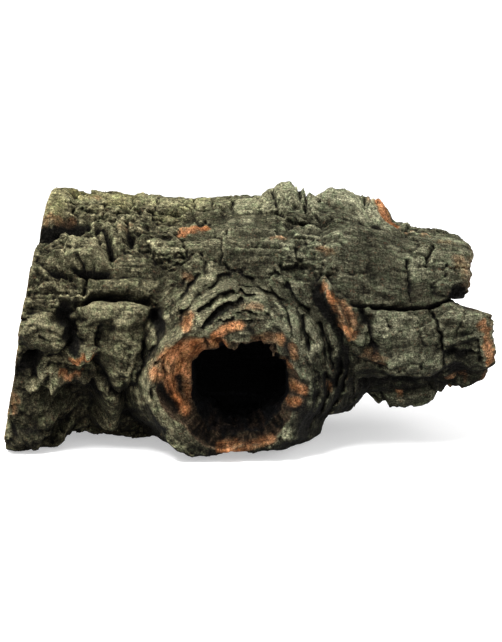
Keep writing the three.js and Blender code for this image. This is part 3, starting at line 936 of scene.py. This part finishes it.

# Pale lichen and painted highlight on lit ridges and flakes, on the chart: x, angle, x, angle, half width,
# strength
PALE_PATCHES = [
    [-130, 34, -119, 34, 12, 0.55],
    [-60, 44, 30, 44, 16, 0.12],
    [-116, 8, -84, 8, 11, 0.48],
    [-161, 0, -150, -4, 14, 0.6],
    [-120, 84, 50, 80, 14, 0.65],
    [-155, 78, -138, 74, 18, 0.5],
    [-159, -11, -157, -17, 5, 0.9],
    [-67, 41, -64, 39, 9, 0.7],
    [-93, -3, -96, -20, 10, 0.3],
    [-109, -28, -107, -43, 9, 0.4],
    [-170, -24, -148, -22, 5, 0.4],
    [-186, -40, -176, -48, 10, 0.3],
    [-154, 31, -140, 31, 4, 0.8],
    [34, 72, 46, 72, 12, 0.5],
    [70, 80, 92, 78, 10, 0.4],
    [76, 86, 106, 74, 19, 0.85],
    [104, -60, 150, -60, 12, 1.1],
    [104, 34, 176, 34, 24, 0.12],
    [86, -34, 108, -30, 12, 0.3],
    [186, 3, 200, -2, 8, 0.7],
    [188, 0, 200, -26, 8, 0.9],
    [-160, 18, -130, 16, 12, 0.3],
    [-120, -8, -80, -8, 24, 0.25],
    [112, 2, 128, -4, 13, 0.4],
    [168, 6, 180, 2, 12, 0.5],
    [122, -19, 152, -21, 12, 0.75],
    [150, 66, 176, 62, 12, 0.35],
    [0, 70, 20, 68, 10, 0.4],
]
# Yellow-green growth on the chart
OLIVE_PATCHES = [
    [-155, 64, -153, 94, 12, 0.7],
    [-136, 78, -128, 84, 7, 0.6],
    [-108, 78, -92, 82, 9, 0.8],
]
# Orange broken cork on the chart
BROKEN_PATCHES = [
    [-132, -13, -118, -10.5, 2.8, 0.9],
    [-143, -20, -133, -20, 2.4, 0.7],
    [-182, -27, -181, -30, 2.4, 0.25],
    [-50, 50, -30, 52, 4, 1.1],
    [-124, 81, -121, 79, 5, 0.3],
    [-98, 50, -92, 51, 3, 0.3],
    [62, 21, 70, 11, 3.0, 0.95],
    [70, 11, 82, -1, 3.4, 0.6],
    [78, 2, 88, -3, 2.8, 0.8],
    [77, 12, 87, 3, 4.6, 0.4],
    [108, 88, 122, 76, 6, 1.1],
    [118, 72, 150, 66, 4, 0.5],
    [62, 40, 70, 38, 3.4, 0.25],
    [174, 40, 182, 32, 6, 0.3],
    [160, 58, 166, 54, 4, 0.5],
    [191, 1, 200, -26, 4.4, 0.75],
    [96, -12, 112, -16, 3.6, 0.2],
    [128, -53, 130, -56, 3.2, 0.55],
    [68, -31, 70, -33, 3.4, 0.9],
    [168, -36, 178, -39, 4, 0.3],
    [24, 44, 34, 46, 4, 0.4],
    [-161, 57, -138, 57, 2.4, 0.25],
]
# Painted shade: near-black places in pits, clefts, hollows and under overhangs
SHADE_PATCHES = [
    [-102, 33, -84, 33, 8, 0.3],
    [-160, 42, -152, 36, 6, 0.35],
    [-174, -16, -165, -15, 8, 1.3],
    [-134, -24, -119, -31, 6, 0.9],
    [-136, -32, -126, -42, 11, 0.5],
    [-142, 9, -134, -8, 5, 0.8],
    [-130, 26.5, -112, 25.5, 3, 0.45],
    [-180, -50, -150, -50, 26, 0.25],
    [-162, 50, -134, 52, 7.5, 0.75],
    [114, -36, 150, -37, 9, 1.7],
    [98, -38, 118, -38, 7, 0.6],
    [84, -52, 116, -60, 6, 0.6],
    [-93, -50, -80, -50, 10, 0.6],
    [60, -30, 96, -40, 18, 0.5],
    [166, -22, 180, -34, 10, 0.4],
    [120, 22, 180, 24, 10, 0.35],
    [98, 65, 110, 66, 6, 0.5],
]
# Orange broken cork round the stub: line, half width, strength
STUB_ORANGE = [
    [[(-60, 17), (-52, 26), (-43, 31), (-33, 33)], 8, 1.0],
    [[(-50, 22), (-41, 16)], 8, 0.95],
    [FACE_RIDGE, 4.5, 1.0],
    [[(-40, 6), (-38, -6)], 4, 0.5],
    [[(-33, 35), (-25, 36), (-12, 36)], 4.5, 1.0],
    [[(-18, 43), (-12, 47), (-4, 50), (2, 51)], 3.4, 1.0],
    [[(4, 63), (11, 65), (19, 63)], 2.6, 0.35],
    [[(-39, 51), (-37, 58)], 4, 0.8],
    [[(14, 41), (24, 42), (34, 39)], 4, 0.22],
    [[(33, 42), (35, 38)], 3, 0.45],
    [[(43, 35), (44, 26)], 2.8, 0.5],
    [[(36, 22), (41, 18)], 2.8, 0.55],
    [[(43, 3), (50, 0)], 4.2, 0.75],
    [[(42, -10), (47, -9)], 3.6, 0.75],
    [[(-14, -45), (8, -44), (26, -38)], 3, 0.6],
    [[(-10, -48), (2, -47)], 2.6, 0.6],
    [[(72, 0), (73, -4)], 3, 0.6],
    [[(-42, 86), (-38, 84)], 3, 0.3],
]
# Pale bark and painted highlight on the crests of folds round the stub: line, half width, strength
STUB_PALE = [
    [LIP, 4.6, 1.0],
    [FOLD_C, 4.2, 1.2],
    [FOLD_B, 2.6, 0.7],
    [FOLD_A, 3.4, 0.9],
    [[(-30, 62), (-8, 74), (18, 72), (36, 58)], 14, 0.16],
    [LOWER_B, 3, 0.7],
    [[(-84, 20), (-82, 0), (-76, -16), (-66, -30)], 3.4, 0.5],
    [[(-56, -34), (-40, -46), (-24, -52)], 3, 0.5],
    [RIGHT_B, 3, 0.4],
    [RIGHT_C, 3, 0.3],
    [RIGHT_A, 3, 0.45],
    [FOLD_D, 4, 0.35],
    [HOLE_LUMP, 4, 0.6],
    [LOWER_A, 3, 0.3],
    [LUMP, 6, 0.3],
    [EAR, 3, 0.35],
    [[(36, -21), (38, -34)], 6, 0.35],
]
# Painted shade round the stub, in its clefts and hollows: line, half width, strength
STUB_SHADE = [
    [[(-60, 3), (-54, -8), (-47, -14)], 4, 0.8],
    [[(-46, 8), (-44, 1)], 4, 0.7],
    [[(-25, 40), (-23, 34)], 1.4, 0.8],
    [[(-15, 40), (-13, 36)], 2.6, 0.9],
    [[(38, 33), (38, 27)], 4, 0.9],
    [[(8, 48), (13, 43)], 2.6, 0.8],
    [[(50, -19), (54, -42)], 8, 0.85],
    [[(36, 42), (45, 30)], 5, 0.35],
    [[(40, -4), (47, -4), (52, -8)], 1.5, 0.7],
    [[(39, 10), (47, 9), (53, 4)], 1.5, 0.7],
    [[(37, -16), (45, -15), (51, -11)], 1.5, 0.7],
    [[(-64, 54), (-60, 49)], 5, 0.8],
    [[(61, 70), (66, 60), (74, 48)], 4, 0.5],
    [[(78, 18), (76, 0)], 5, 0.5],
    [[(-30, 48), (-19, 57), (-6, 65)], 2.2, 0.6],
    [[(26, 50), (32, 47)], 4, 0.5],
    [[(-70, -22), (-50, -36)], 7, 0.35],
]


class Spots:
    """What is known of each point before it is painted."""

    def __init__(self, points, normals, average):
        self.skin, self.saw, bore, hole, floor, bark, collar, self.end = surfaces(points)
        self.r, self.angle, self.rho, self.theta = places(points)
        self.x, y, self.z = points[:, 0], points[:, 1], points[:, 2]
        self.turn = (self.angle + 360) / 360
        self.stub_turn = (self.theta + 360) / 360
        self.depth = y - STUB_TIP_Y
        self.up = normals[:, 2]
        which = np.argmin(np.abs(np.stack([self.skin, self.saw, bore, hole, floor])), axis=0)
        deep = (which == 3) & (self.depth > FACE_DEPTH)
        self.inner = average.times(((which == 2) | deep).astype(float), 2)
        self.face = average.times(((which == 3) & ~deep).astype(float), 1)
        self.sawn = average.times((which == 1).astype(float), 1)
        self.small = np.einsum("ij,ij->i", normals, points - average.times(points, 6))
        self.large = np.einsum("ij,ij->i", normals, points - average.times(points, 60))
        # Painted light and shade: near 1 on what stands out above its neighbours and near 0 in hollows; it
        # lightens and darkens the colours.
        self.relief_light = np.clip(0.5 + 0.6 * self.small + 0.32 * self.large, 0, 1)
        self.on_stub = smooth(-3, 3, bark - collar)
        self.ahead = smooth(-60, -72, y)


def patches(s):
    """How pale (lichen and painted highlight), bare, dark with painted shade, and olive each spot is by its
    place.
    """
    ragged = 3.0 * layers(s.x / 6, s.turn * 100, 100, 82, 3)
    x = s.x + ragged
    angle = s.angle + 3.0 * layers(s.x / 6, s.turn * 100, 100, 83, 3) / (CHART_R * DEG)
    right = s.x - STUB_X + 0.5 * ragged
    rise = s.z - STUB_Z + 0.5 * layers(s.x / 5, s.turn * 120, 120, 95, 3)
    off_stub = 1 - s.on_stub
    pale = along_lines(PALE_PATCHES, x, angle, 3) * off_stub
    pale += along_strokes(STUB_PALE, right, rise, 3) * s.ahead
    bare = along_lines(BROKEN_PATCHES, x, angle, 4) * off_stub
    bare += along_strokes(STUB_ORANGE, right, rise, 4) * s.ahead
    cut = tube.at(tube.cut, s.x, s.angle) * (1 - s.ahead * s.on_stub)
    cut += stub.at(stub.cut, s.rho, s.theta) * s.ahead
    dark_shade = along_lines(SHADE_PATCHES, x, angle, 2) + along_strokes(STUB_SHADE, right, rise, 3) * s.ahead
    # Painted shade: darker down in deep clefts and along the dark line at each fold's inner side.
    dark_shade += smooth(2.5, 8, -cut) + 0.7 * stub.at(stub.fold_line_shade, s.rho, s.theta) * s.ahead * s.on_stub
    return pale, bare, dark_shade, along_lines(OLIVE_PATCHES, x, angle, 4)


def bark_shade(s):
    """Light and dark of the outer bark: tone by chip, and painted shade by place, darker on the front below
    the top, darker still low down and on the underside.
    """
    # Painted shade on surfaces that face down.
    underside_shade = 1 - 0.68 * smooth(-0.15, 0.75, -s.up)
    mottle = layers(s.x / 4.6, s.turn * 150, 150, 97, 3)
    mottle *= mix(0.2, 0.08, smooth(60, 95, s.x) * smooth(70, 55, np.abs(s.angle - 10)))
    chip_tone = mix(tube.at(tube.tone, s.x, s.angle), stub.at(stub.tone, s.rho, s.theta), s.on_stub * s.ahead)
    shade = 2 ** (mottle + 1.1 * chip_tone)
    # Painted shade on the front below the top, and more low down.
    shade *= mix(1, 0.72, between(s.angle, -160, -120, 40, 64))
    shade *= mix(1, 0.74, between(s.angle, -160, -120, -40, 16))
    return underside_shade * shade * DAYLIGHT


def bark_colour(s, pale, olive_patch):
    """Colour of the outer bark: greyer and paler on what stands out and on top, and darker in hollows and
    underneath, as painted light and shade, with olive growth and brown patches.
    """
    lichen = layers(s.x / 34, s.turn * 24, 24, 84, 3) + 0.15 * layers(s.x / 6, s.turn * 110, 110, 85, 2)
    # Paleness from lichen, pale patches and painted light and shade: paler where the surface stands out or
    # faces up, darker where it faces down.
    amount = 0.21 + 0.22 * lichen + 0.75 * (s.relief_light - 0.5) + 0.22 * s.up + pale
    amount -= 0.12 * smooth(0, 1, -s.up)
    # Painted light on the lips of the collar's folds, and paler out past 50 to 60 mm from the stub's axis.
    amount += s.on_stub * (0.15 * smooth(50, 60, s.rho) + 0.35 * stub.at(stub.fold_lip_light, s.rho, s.theta))
    amount = np.clip(amount, 0, 1)[:, None]
    relief_light = s.relief_light[:, None]
    colour = mix(BARK_DARK, BARK_MID, np.clip(amount * 2, 0, 1))
    colour = mix(colour, BARK_PALE, np.clip(amount * 2 - 1, 0, 1))
    olive = between(s.angle, 50, 80, 110, 150) * smooth(60, -40, s.x)
    olive = np.clip(olive * (0.5 + 0.6 * layers(s.x / 20, s.turn * 30, 30, 86, 3)), 0, 1)
    olive = np.maximum(olive, olive_patch)
    colour = mix(colour, OLIVE * (0.45 + 0.9 * relief_light), (0.6 * olive)[:, None])
    # Brown in patches, and a little more on the underside.
    brown = 0.35 * layers(s.x / 14, s.turn * 50, 50, 87, 3) + 0.10 * smooth(0.2, 1.2, -s.up)
    colour = mix(colour, BROWN * (0.5 + 0.8 * relief_light), (0.5 * np.clip(brown, 0, 1))[:, None])
    return colour * bark_shade(s)[:, None] * mix(COOL, WARM, smooth(70, -110, s.x)[:, None])


def bare_share(s, bare):
    """How far each spot is bare cork: by its place, where it is broken or worn, and on the saw cut."""
    end = smooth(-9, -1, s.end + 2 * noise(s.x / 5, s.turn * 70, 70, 81))
    end *= np.clip(0.45 + 0.7 * layers(s.x / 12, s.turn * 20, 20, 88, 2), 0, 1)
    share = np.maximum(np.clip(bare, 0, 1), mix(0.5, 0.18, smooth(10, 24, s.angle)) * end)
    wear = smooth(0.9, 1.6, s.small) * smooth(0.15, 0.6, layers(s.x / 16, s.turn * 44, 44, 89, 3))
    share = np.maximum(share, 0.35 * wear)
    share *= 1 - 0.55 * smooth(0.25, 0.75, layers(s.depth / 9, s.stub_turn * 20, 20, 90, 4))
    return np.maximum(share, s.sawn * mix(0.25, 0.75, smooth(-3, -14, s.skin)))


def paint(points, normals, average):
    """The surface's colour, with painted light and shade, how much of it is bare cork and how much is the
    hollow, and its grain.
    """
    s = Spots(points, normals, average)
    pale, bare, dark_shade, olive = patches(s)
    relief_light = s.relief_light[:, None]
    colour = bark_colour(s, pale, olive)
    exposed = bare_share(s, bare)

    # Painted shade in the lower part of the hole's mouth: darker deeper in, broken by streaks of fibre.
    below = between(s.theta, -178, -135, -45, -5)
    streaks = np.clip(0.4 + 0.9 * layers(s.depth / 12, s.stub_turn * 120, 120, 92, 3), 0, 1)
    mouth_shade = mix(1, 0.10 + 0.5 * streaks**2, below * smooth(1, 10, s.depth))
    mouth = s.face * (1 - np.clip(bare, 0, 1))
    colour = mix(colour, MOUTH_BROWN * ((0.5 + s.relief_light) * mouth_shade)[:, None], mouth[:, None])
    cork = mix(CORK, CORK_PALE, np.clip(0.5 + layers(s.x / 9, s.turn * 60, 60, 91, 3), 0, 1)[:, None])
    colour = mix(colour, cork * mix(0.55, 1.1, relief_light), np.clip(exposed, 0, 1)[:, None])
    # Painted shade: crevices, clefts and hollows are mixed toward near black, less where the cork is bare.
    sunk_shade = smooth(0.5, 2.2, -(1.8 * s.small + 0.9 * s.large))
    crevice_shade_share = np.clip(0.9 * sunk_shade + 0.8 * dark_shade, 0, 0.96) * (1 - 0.6 * exposed)
    colour = mix(colour, CREVICE_SHADE, crevice_shade_share[:, None])

    # Painted shade inside: near black deep in, lighter brown near the saw cut, the broken end and the fringe
    # of fibre below the hole.
    end_near = np.maximum(smooth(-45, -4, s.saw), smooth(-40, -4, s.end))
    fringe = below * smooth(60, 30, s.depth) * 0.7 * streaks**3
    hollow = mix(HOLLOW_SHADE, HOLLOW_EDGE, np.maximum(end_near, fringe)[:, None]) * (0.6 + 0.8 * relief_light)
    colour = mix(colour, hollow, s.inner[:, None])
    along = mix(s.x, s.rho * 0.15 + s.stub_turn * STUB_GRAIN_ROUND, s.on_stub)
    across = mix(s.turn * GRAIN_ROUND, s.rho, s.on_stub)
    return colour, exposed * (1 - s.inner), s.inner, np.stack([along, across, s.r], -1)


def add_piece(name, points, quads, normals, values):
    """A mesh of quads and of triangles where points were merged, with its normals and painted values."""
    four, three = whole_faces(quads)
    used, flat = np.unique(np.concatenate([four.ravel(), three.ravel()]), return_inverse=True)
    flat = flat.ravel()
    at = (points[used] - MIDDLE) / 1000
    starts = np.concatenate([np.arange(len(four)) * 4, four.size + np.arange(len(three)) * 3])
    mesh = bpy.data.meshes.new(name)
    mesh.vertices.add(len(at))
    mesh.vertices.foreach_set("co", at.astype(np.float32).ravel())
    mesh.loops.add(len(flat))
    mesh.loops.foreach_set("vertex_index", flat.astype(np.int32))
    mesh.polygons.add(len(starts))
    mesh.polygons.foreach_set("loop_start", starts.astype(np.int32))
    mesh.polygons.foreach_set("use_smooth", np.ones(len(starts), bool))
    mesh.update(calc_edges=True)
    colour, exposed, inner, grain = values
    rgba = np.concatenate([colour[used], np.ones((len(used), 1))], 1).astype(np.float32)
    mesh.attributes.new("bark_tint", "FLOAT_COLOR", "POINT").data.foreach_set("color", rgba.ravel())
    for attribute, value in (("exposed", exposed), ("inner", inner)):
        numbers = value[used].astype(np.float32)
        mesh.attributes.new(attribute, "FLOAT", "POINT").data.foreach_set("value", numbers)
    place = mesh.attributes.new("grain", "FLOAT_VECTOR", "POINT")
    place.data.foreach_set("vector", grain[used].astype(np.float32).ravel())
    mesh.normals_split_custom_set_from_vertices([tuple(n) for n in normals[used]])
    piece = bpy.data.objects.new(name, mesh)
    bpy.context.scene.collection.objects.link(piece)
    return piece


class Nodes:
    """Small helpers to write a node tree."""

    def __init__(self, material):
        self.tree = material.node_tree
        self.tree.nodes.clear()

    def add(self, kind, **settings):
        node = self.tree.nodes.new(kind)
        for name, value in settings.items():
            setattr(node, name, value)
        return node

    def link(self, a, b):
        self.tree.links.new(a, b)

    def put(self, socket, value):
        """Sets a socket to a number or a colour, or links it."""
        if isinstance(value, (int, float, tuple)):
            socket.default_value = value
        else:
            self.link(value, socket)

    def attribute(self, name, output):
        return self.add("ShaderNodeAttribute", attribute_name=name).outputs[output]

    def math(self, operation, a, b):
        node = self.add("ShaderNodeMath", operation=operation)
        self.put(node.inputs[0], a)
        self.put(node.inputs[1], b)
        return node.outputs[0]

    def times(self, a, b):
        return self.math("MULTIPLY", a, b)

    def plus(self, a, b):
        return self.math("ADD", a, b)

    def without(self, share):
        return self.math("SUBTRACT", 1.0, share)

    def range(self, value, low, high, to_low=0.0, to_high=1.0):
        node = self.add("ShaderNodeMapRange", interpolation_type="SMOOTHSTEP")
        self.link(value, node.inputs["Value"])
        node.inputs["From Min"].default_value = low
        node.inputs["From Max"].default_value = high
        node.inputs["To Min"].default_value = to_low
        node.inputs["To Max"].default_value = to_high
        return node.outputs["Result"]

    def scaled(self, vector, scale):
        node = self.add("ShaderNodeVectorMath", operation="MULTIPLY")
        self.link(vector, node.inputs[0])
        node.inputs[1].default_value = scale
        return node.outputs[0]

    def shifted(self, vector, by, scale):
        """A place moved by a noise colour times a scale."""
        node = self.add("ShaderNodeVectorMath", operation="MULTIPLY_ADD")
        self.link(by, node.inputs[0])
        node.inputs[1].default_value = scale
        self.link(vector, node.inputs[2])
        return node.outputs[0]

    def noise(self, vector, scale, detail, rough=0.6, output="Fac"):
        node = self.add("ShaderNodeTexNoise")
        self.link(vector, node.inputs["Vector"])
        node.inputs["Scale"].default_value = scale
        node.inputs["Detail"].default_value = detail
        node.inputs["Roughness"].default_value = rough
        return node.outputs[output]

    def cracks(self, vector, scale):
        """Distance to the nearest border between cells."""
        node = self.add("ShaderNodeTexVoronoi", feature="DISTANCE_TO_EDGE")
        self.link(vector, node.inputs["Vector"])
        node.inputs["Scale"].default_value = scale
        return node.outputs["Distance"]

    def chips(self, vector, scale):
        """A number from 0 to 1 for each angular cell."""
        node = self.add("ShaderNodeTexVoronoi", feature="F1")
        self.link(vector, node.inputs["Vector"])
        node.inputs["Scale"].default_value = scale
        split = self.add("ShaderNodeSeparateColor")
        self.link(node.outputs["Color"], split.inputs[0])
        return split.outputs[0]

    def blend(self, kind, share, a, b):
        """One colour over another, mixed in or multiplied."""
        node = self.add("ShaderNodeMix", data_type="RGBA", blend_type=kind)
        factor, first, second = node.inputs[0], node.inputs[6], node.inputs[7]
        self.put(factor, share)
        self.put(first, a)
        self.put(second, b)
        return node.outputs[2]


def weave_lines(n, bent):
    """Woven lines along the bark and across it."""
    along = n.noise(n.scaled(bent, (0.05, 0.5, 0.1)), 1.0, 4, 0.75)
    across = n.noise(n.scaled(bent, (0.5, 0.05, 0.1)), 1.0, 4, 0.75)
    return n.times(n.range(along, 0.38, 0.60, 0.55, 1.30), n.range(across, 0.38, 0.60, 0.66, 1.22))


def crack_lines(n, bent):
    """Wide and fine cracks: 1 off them and less in them."""
    wide = n.range(n.cracks(n.scaled(bent, (0.13, 0.26, 0.05)), 1.0), 0.01, 0.09)
    fine = n.range(n.cracks(n.scaled(bent, (0.36, 0.62, 0.05)), 1.0), 0.01, 0.17)
    return n.times(n.range(wide, 0, 1, 0.35, 1.0), n.range(fine, 0, 1, 0.65, 1.0))


def growth(n, colour, tint, place, open_bark):
    """Pale flecks and rusty spots, but not in crevices, and a green cast here and there."""
    lit = n.times(open_bark, n.range(tint, 0.004, 0.040))
    flecks = n.range(n.noise(place, 1.0, 3, 0.6), 0.58, 0.70, 0.0, 0.22)
    colour = n.blend("MIX", n.times(flecks, lit), colour, FLECK)
    rust = n.range(n.noise(place, 0.33, 4, 0.7), 0.59, 0.67, 0.0, 0.26)
    colour = n.blend("MIX", n.times(rust, lit), colour, RUST)
    green = n.range(n.noise(place, 0.16, 4, 0.65), 0.46, 0.64, 0.0, 0.7)
    return n.blend("MULTIPLY", green, colour, GREEN_CAST)


def bark_material():
    """Grain, woven lines and cracks over the painted tint, and pores where the cork is bare."""
    material = bpy.data.materials.new("cork_bark_surface")
    material.use_nodes = True
    n = Nodes(material)
    tint = n.attribute("bark_tint", "Color")
    exposed = n.attribute("exposed", "Fac")
    chart = n.attribute("grain", "Vector")
    place = n.scaled(n.add("ShaderNodeTexCoord").outputs["Object"], (1000, 1000, 1000))
    bent = n.shifted(chart, n.noise(place, 0.35, 3, 0.6, "Color"), (5.0, 3.0, 0.0))
    open_bark = n.times(n.without(exposed), n.without(n.attribute("inner", "Fac")))

    weave = weave_lines(n, bent)
    cracked = crack_lines(n, bent)
    speckle = n.noise(place, 0.8, 4, 0.8)
    grains = n.range(n.chips(place, 0.85), 0.0, 1.0, 0.58, 1.5)
    grit = n.times(grains, n.range(speckle, 0.34, 0.66, 0.5, 1.62))
    crack_share = n.range(n.noise(place, 0.06, 3), 0.38, 0.65, 0.15, 1.0)
    crack_share = n.times(crack_share, n.range(exposed, 0, 1, 1.0, 0.25))
    crack_shade = n.without(n.times(n.without(cracked), crack_share))
    pits = n.range(n.range(n.noise(place, 0.75, 3, 0.65), 0.31, 0.40), 0, 1, 0.35, 1.05)
    value = n.times(n.times(weave, grit), n.times(crack_shade, pits))
    grey = n.add("ShaderNodeCombineColor")
    for socket in grey.inputs:
        n.link(value, socket)
    colour = n.blend("MULTIPLY", 1.0, tint, grey.outputs[0])
    colour = growth(n, colour, tint, place, open_bark)

    pores = n.range(n.noise(place, 0.55, 4, 0.7), 0.30, 0.44)
    pore_share = n.times(n.without(pores), n.times(exposed, 0.75))
    colour = n.blend("MULTIPLY", pore_share, colour, PORE)
    rings = n.range(n.noise(n.scaled(chart, (0.05, 0.05, 0.9)), 1.0, 2), 0.4, 0.6, 0.0, 0.45)
    colour = n.blend("MULTIPLY", n.times(exposed, rings), colour, RING)

    height = n.plus(n.times(cracked, 0.9), n.times(weave, 0.8))
    height = n.plus(height, n.plus(n.times(grit, 0.5), n.times(pores, 0.35)))
    bump = n.add("ShaderNodeBump")
    bump.inputs["Strength"].default_value = 0.85
    bump.inputs["Distance"].default_value = 0.0014
    n.link(height, bump.inputs["Height"])
    shader = n.add("ShaderNodeBsdfPrincipled")
    n.link(colour, shader.inputs["Base Color"])
    n.link(n.range(speckle, 0.3, 0.7, 0.95, 0.78), shader.inputs["Roughness"])
    shader.inputs["Specular IOR Level"].default_value = 0.04
    n.link(bump.outputs[0], shader.inputs["Normal"])
    out = n.add("ShaderNodeOutputMaterial")
    n.link(shader.outputs[0], out.inputs["Surface"])
    return material


def build_bark():
    """The piece's mesh, painted, with its back and hollow made coarser, and split into six."""
    points, quads = largest_part(*skin_mesh())
    a = points[quads[:, 2]] - points[quads[:, 0]]
    b = points[quads[:, 3]] - points[quads[:, 1]]
    if np.einsum("ij,ij->", np.cross(a, b), points[quads[:, 0]]) < 0:
        quads = quads[:, ::-1]
    average = Averager(len(points), quads)
    normals = point_normals(points, quads)
    values = paint(points, normals, average)
    angle = places(points)[1]
    inside = values[2] > 0.5
    in_front = (np.abs(angle) < FRONT_REACH) & ~inside
    fine = in_front[quads].any(axis=1)
    keep = np.zeros(len(points), bool)
    keep[quads[fine].ravel()] = True
    number = merged(points, keep)
    weight = 1 / np.bincount(number)

    def average_of(v):
        if v.ndim == 1:
            return np.bincount(number, weights=v) * weight
        return np.stack([average_of(v[:, k]) for k in range(v.shape[1])], -1)

    inside_face = inside[quads].mean(axis=1) > 0.5
    middle_x = points[quads].mean(axis=1)[:, 0]
    points, normals = average_of(points), average_of(normals)
    values = [average_of(v) for v in values]
    quads = number[quads]
    material = bark_material()
    borders = (-math.inf, *FRONT_SPLITS, math.inf)
    parts = {}
    for letter, low, high in zip("abcd", borders[:-1], borders[1:]):
        parts["bark_front_" + letter] = fine & (middle_x >= low) & (middle_x < high)
    parts["bark_back"] = ~fine & ~inside_face
    parts["bark_hollow"] = ~fine & inside_face
    for name, chosen in parts.items():
        piece = add_piece(name, points, quads[chosen], normals, values)
        piece.data.materials.append(material)
        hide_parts("cork_bark")
        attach(piece, "root")


# Camera, in m: how far it is, how high it looks from, a pixel's size at the part, and where it aims
CAMERA_DISTANCE = 1.3
CAMERA_ELEVATION = 9 * DEG
PICTURE_TALL = 642
PIXEL = 0.84e-3
AIM_X = -0.00042
AIM_Z = 0.104
AIM_DROP_PIXELS = 12.5
SENSOR = 36

# Studio, in m and W: lights with their place, size and power, and the floor
LIGHTS = [
    ("key", (-0.45, -0.55, 1.5), (0.7, 0.7), 62),
    ("fill", (0.9, -1.6, 0.9), (1.2, 1.0), 6),
]
LIGHT_AIM = (0, 0, 0.1)
SKY = 1.12
FLOOR_HALF = 60.0
FLOOR_DROP = 0.0004
FLOOR_GREY = 0.72
FLOOR_GLOW = 0.42
WHITE = (1, 1, 1, 1)


def place_at(thing, place, direction):
    """Puts a camera or a light at a place, looking in a direction."""
    thing.location = place
    thing.rotation_mode = "QUATERNION"
    thing.rotation_quaternion = direction.to_track_quat("-Z", "Y")
    bpy.context.scene.collection.objects.link(thing)


def build_camera():
    data = bpy.data.cameras.new("camera")
    data.sensor_width = SENSOR
    data.lens = SENSOR * CAMERA_DISTANCE / (PICTURE_TALL * PIXEL)
    data.clip_start = 0.05
    data.clip_end = 200
    camera = bpy.data.objects.new("camera", data)
    target = Vector((AIM_X, 0, AIM_Z - AIM_DROP_PIXELS * PIXEL))
    back = Vector((0, -math.cos(CAMERA_ELEVATION), math.sin(CAMERA_ELEVATION)))
    place_at(camera, target + back * CAMERA_DISTANCE, -back)
    bpy.context.scene.camera = camera


def area_light(name, place, size, power):
    data = bpy.data.lights.new(name, "AREA")
    data.shape = "RECTANGLE"
    data.size, data.size_y = size
    data.energy = power
    light = bpy.data.objects.new(name, data)
    place_at(light, place, Vector(LIGHT_AIM) - Vector(place))


def build_studio():
    mesh = bpy.data.meshes.new("floor")
    corners = [(x * FLOOR_HALF, y * FLOOR_HALF, -FLOOR_DROP) for x, y in ((-1, -1), (1, -1), (1, 1), (-1, 1))]
    mesh.from_pydata(corners, [], [(0, 1, 2, 3)])
    floor = bpy.data.objects.new("floor", mesh)
    material = bpy.data.materials.new("floor_paper")
    material.use_nodes = True
    shader = material.node_tree.nodes["Principled BSDF"]
    shader.inputs["Base Color"].default_value = (FLOOR_GREY, FLOOR_GREY, FLOOR_GREY, 1)
    shader.inputs["Roughness"].default_value = 0.9
    shader.inputs["Emission Color"].default_value = WHITE
    shader.inputs["Emission Strength"].default_value = FLOOR_GLOW
    mesh.materials.append(material)
    bpy.context.scene.collection.objects.link(floor)
    for light in LIGHTS:
        area_light(*light)
    world = bpy.data.worlds.new("studio")
    world.use_nodes = True
    background = world.node_tree.nodes["Background"]
    background.inputs["Color"].default_value = WHITE
    background.inputs["Strength"].default_value = SKY
    bpy.context.scene.world = world
    bpy.context.scene.view_settings.view_transform = "Standard"


build_camera()
build_bark()
build_studio()
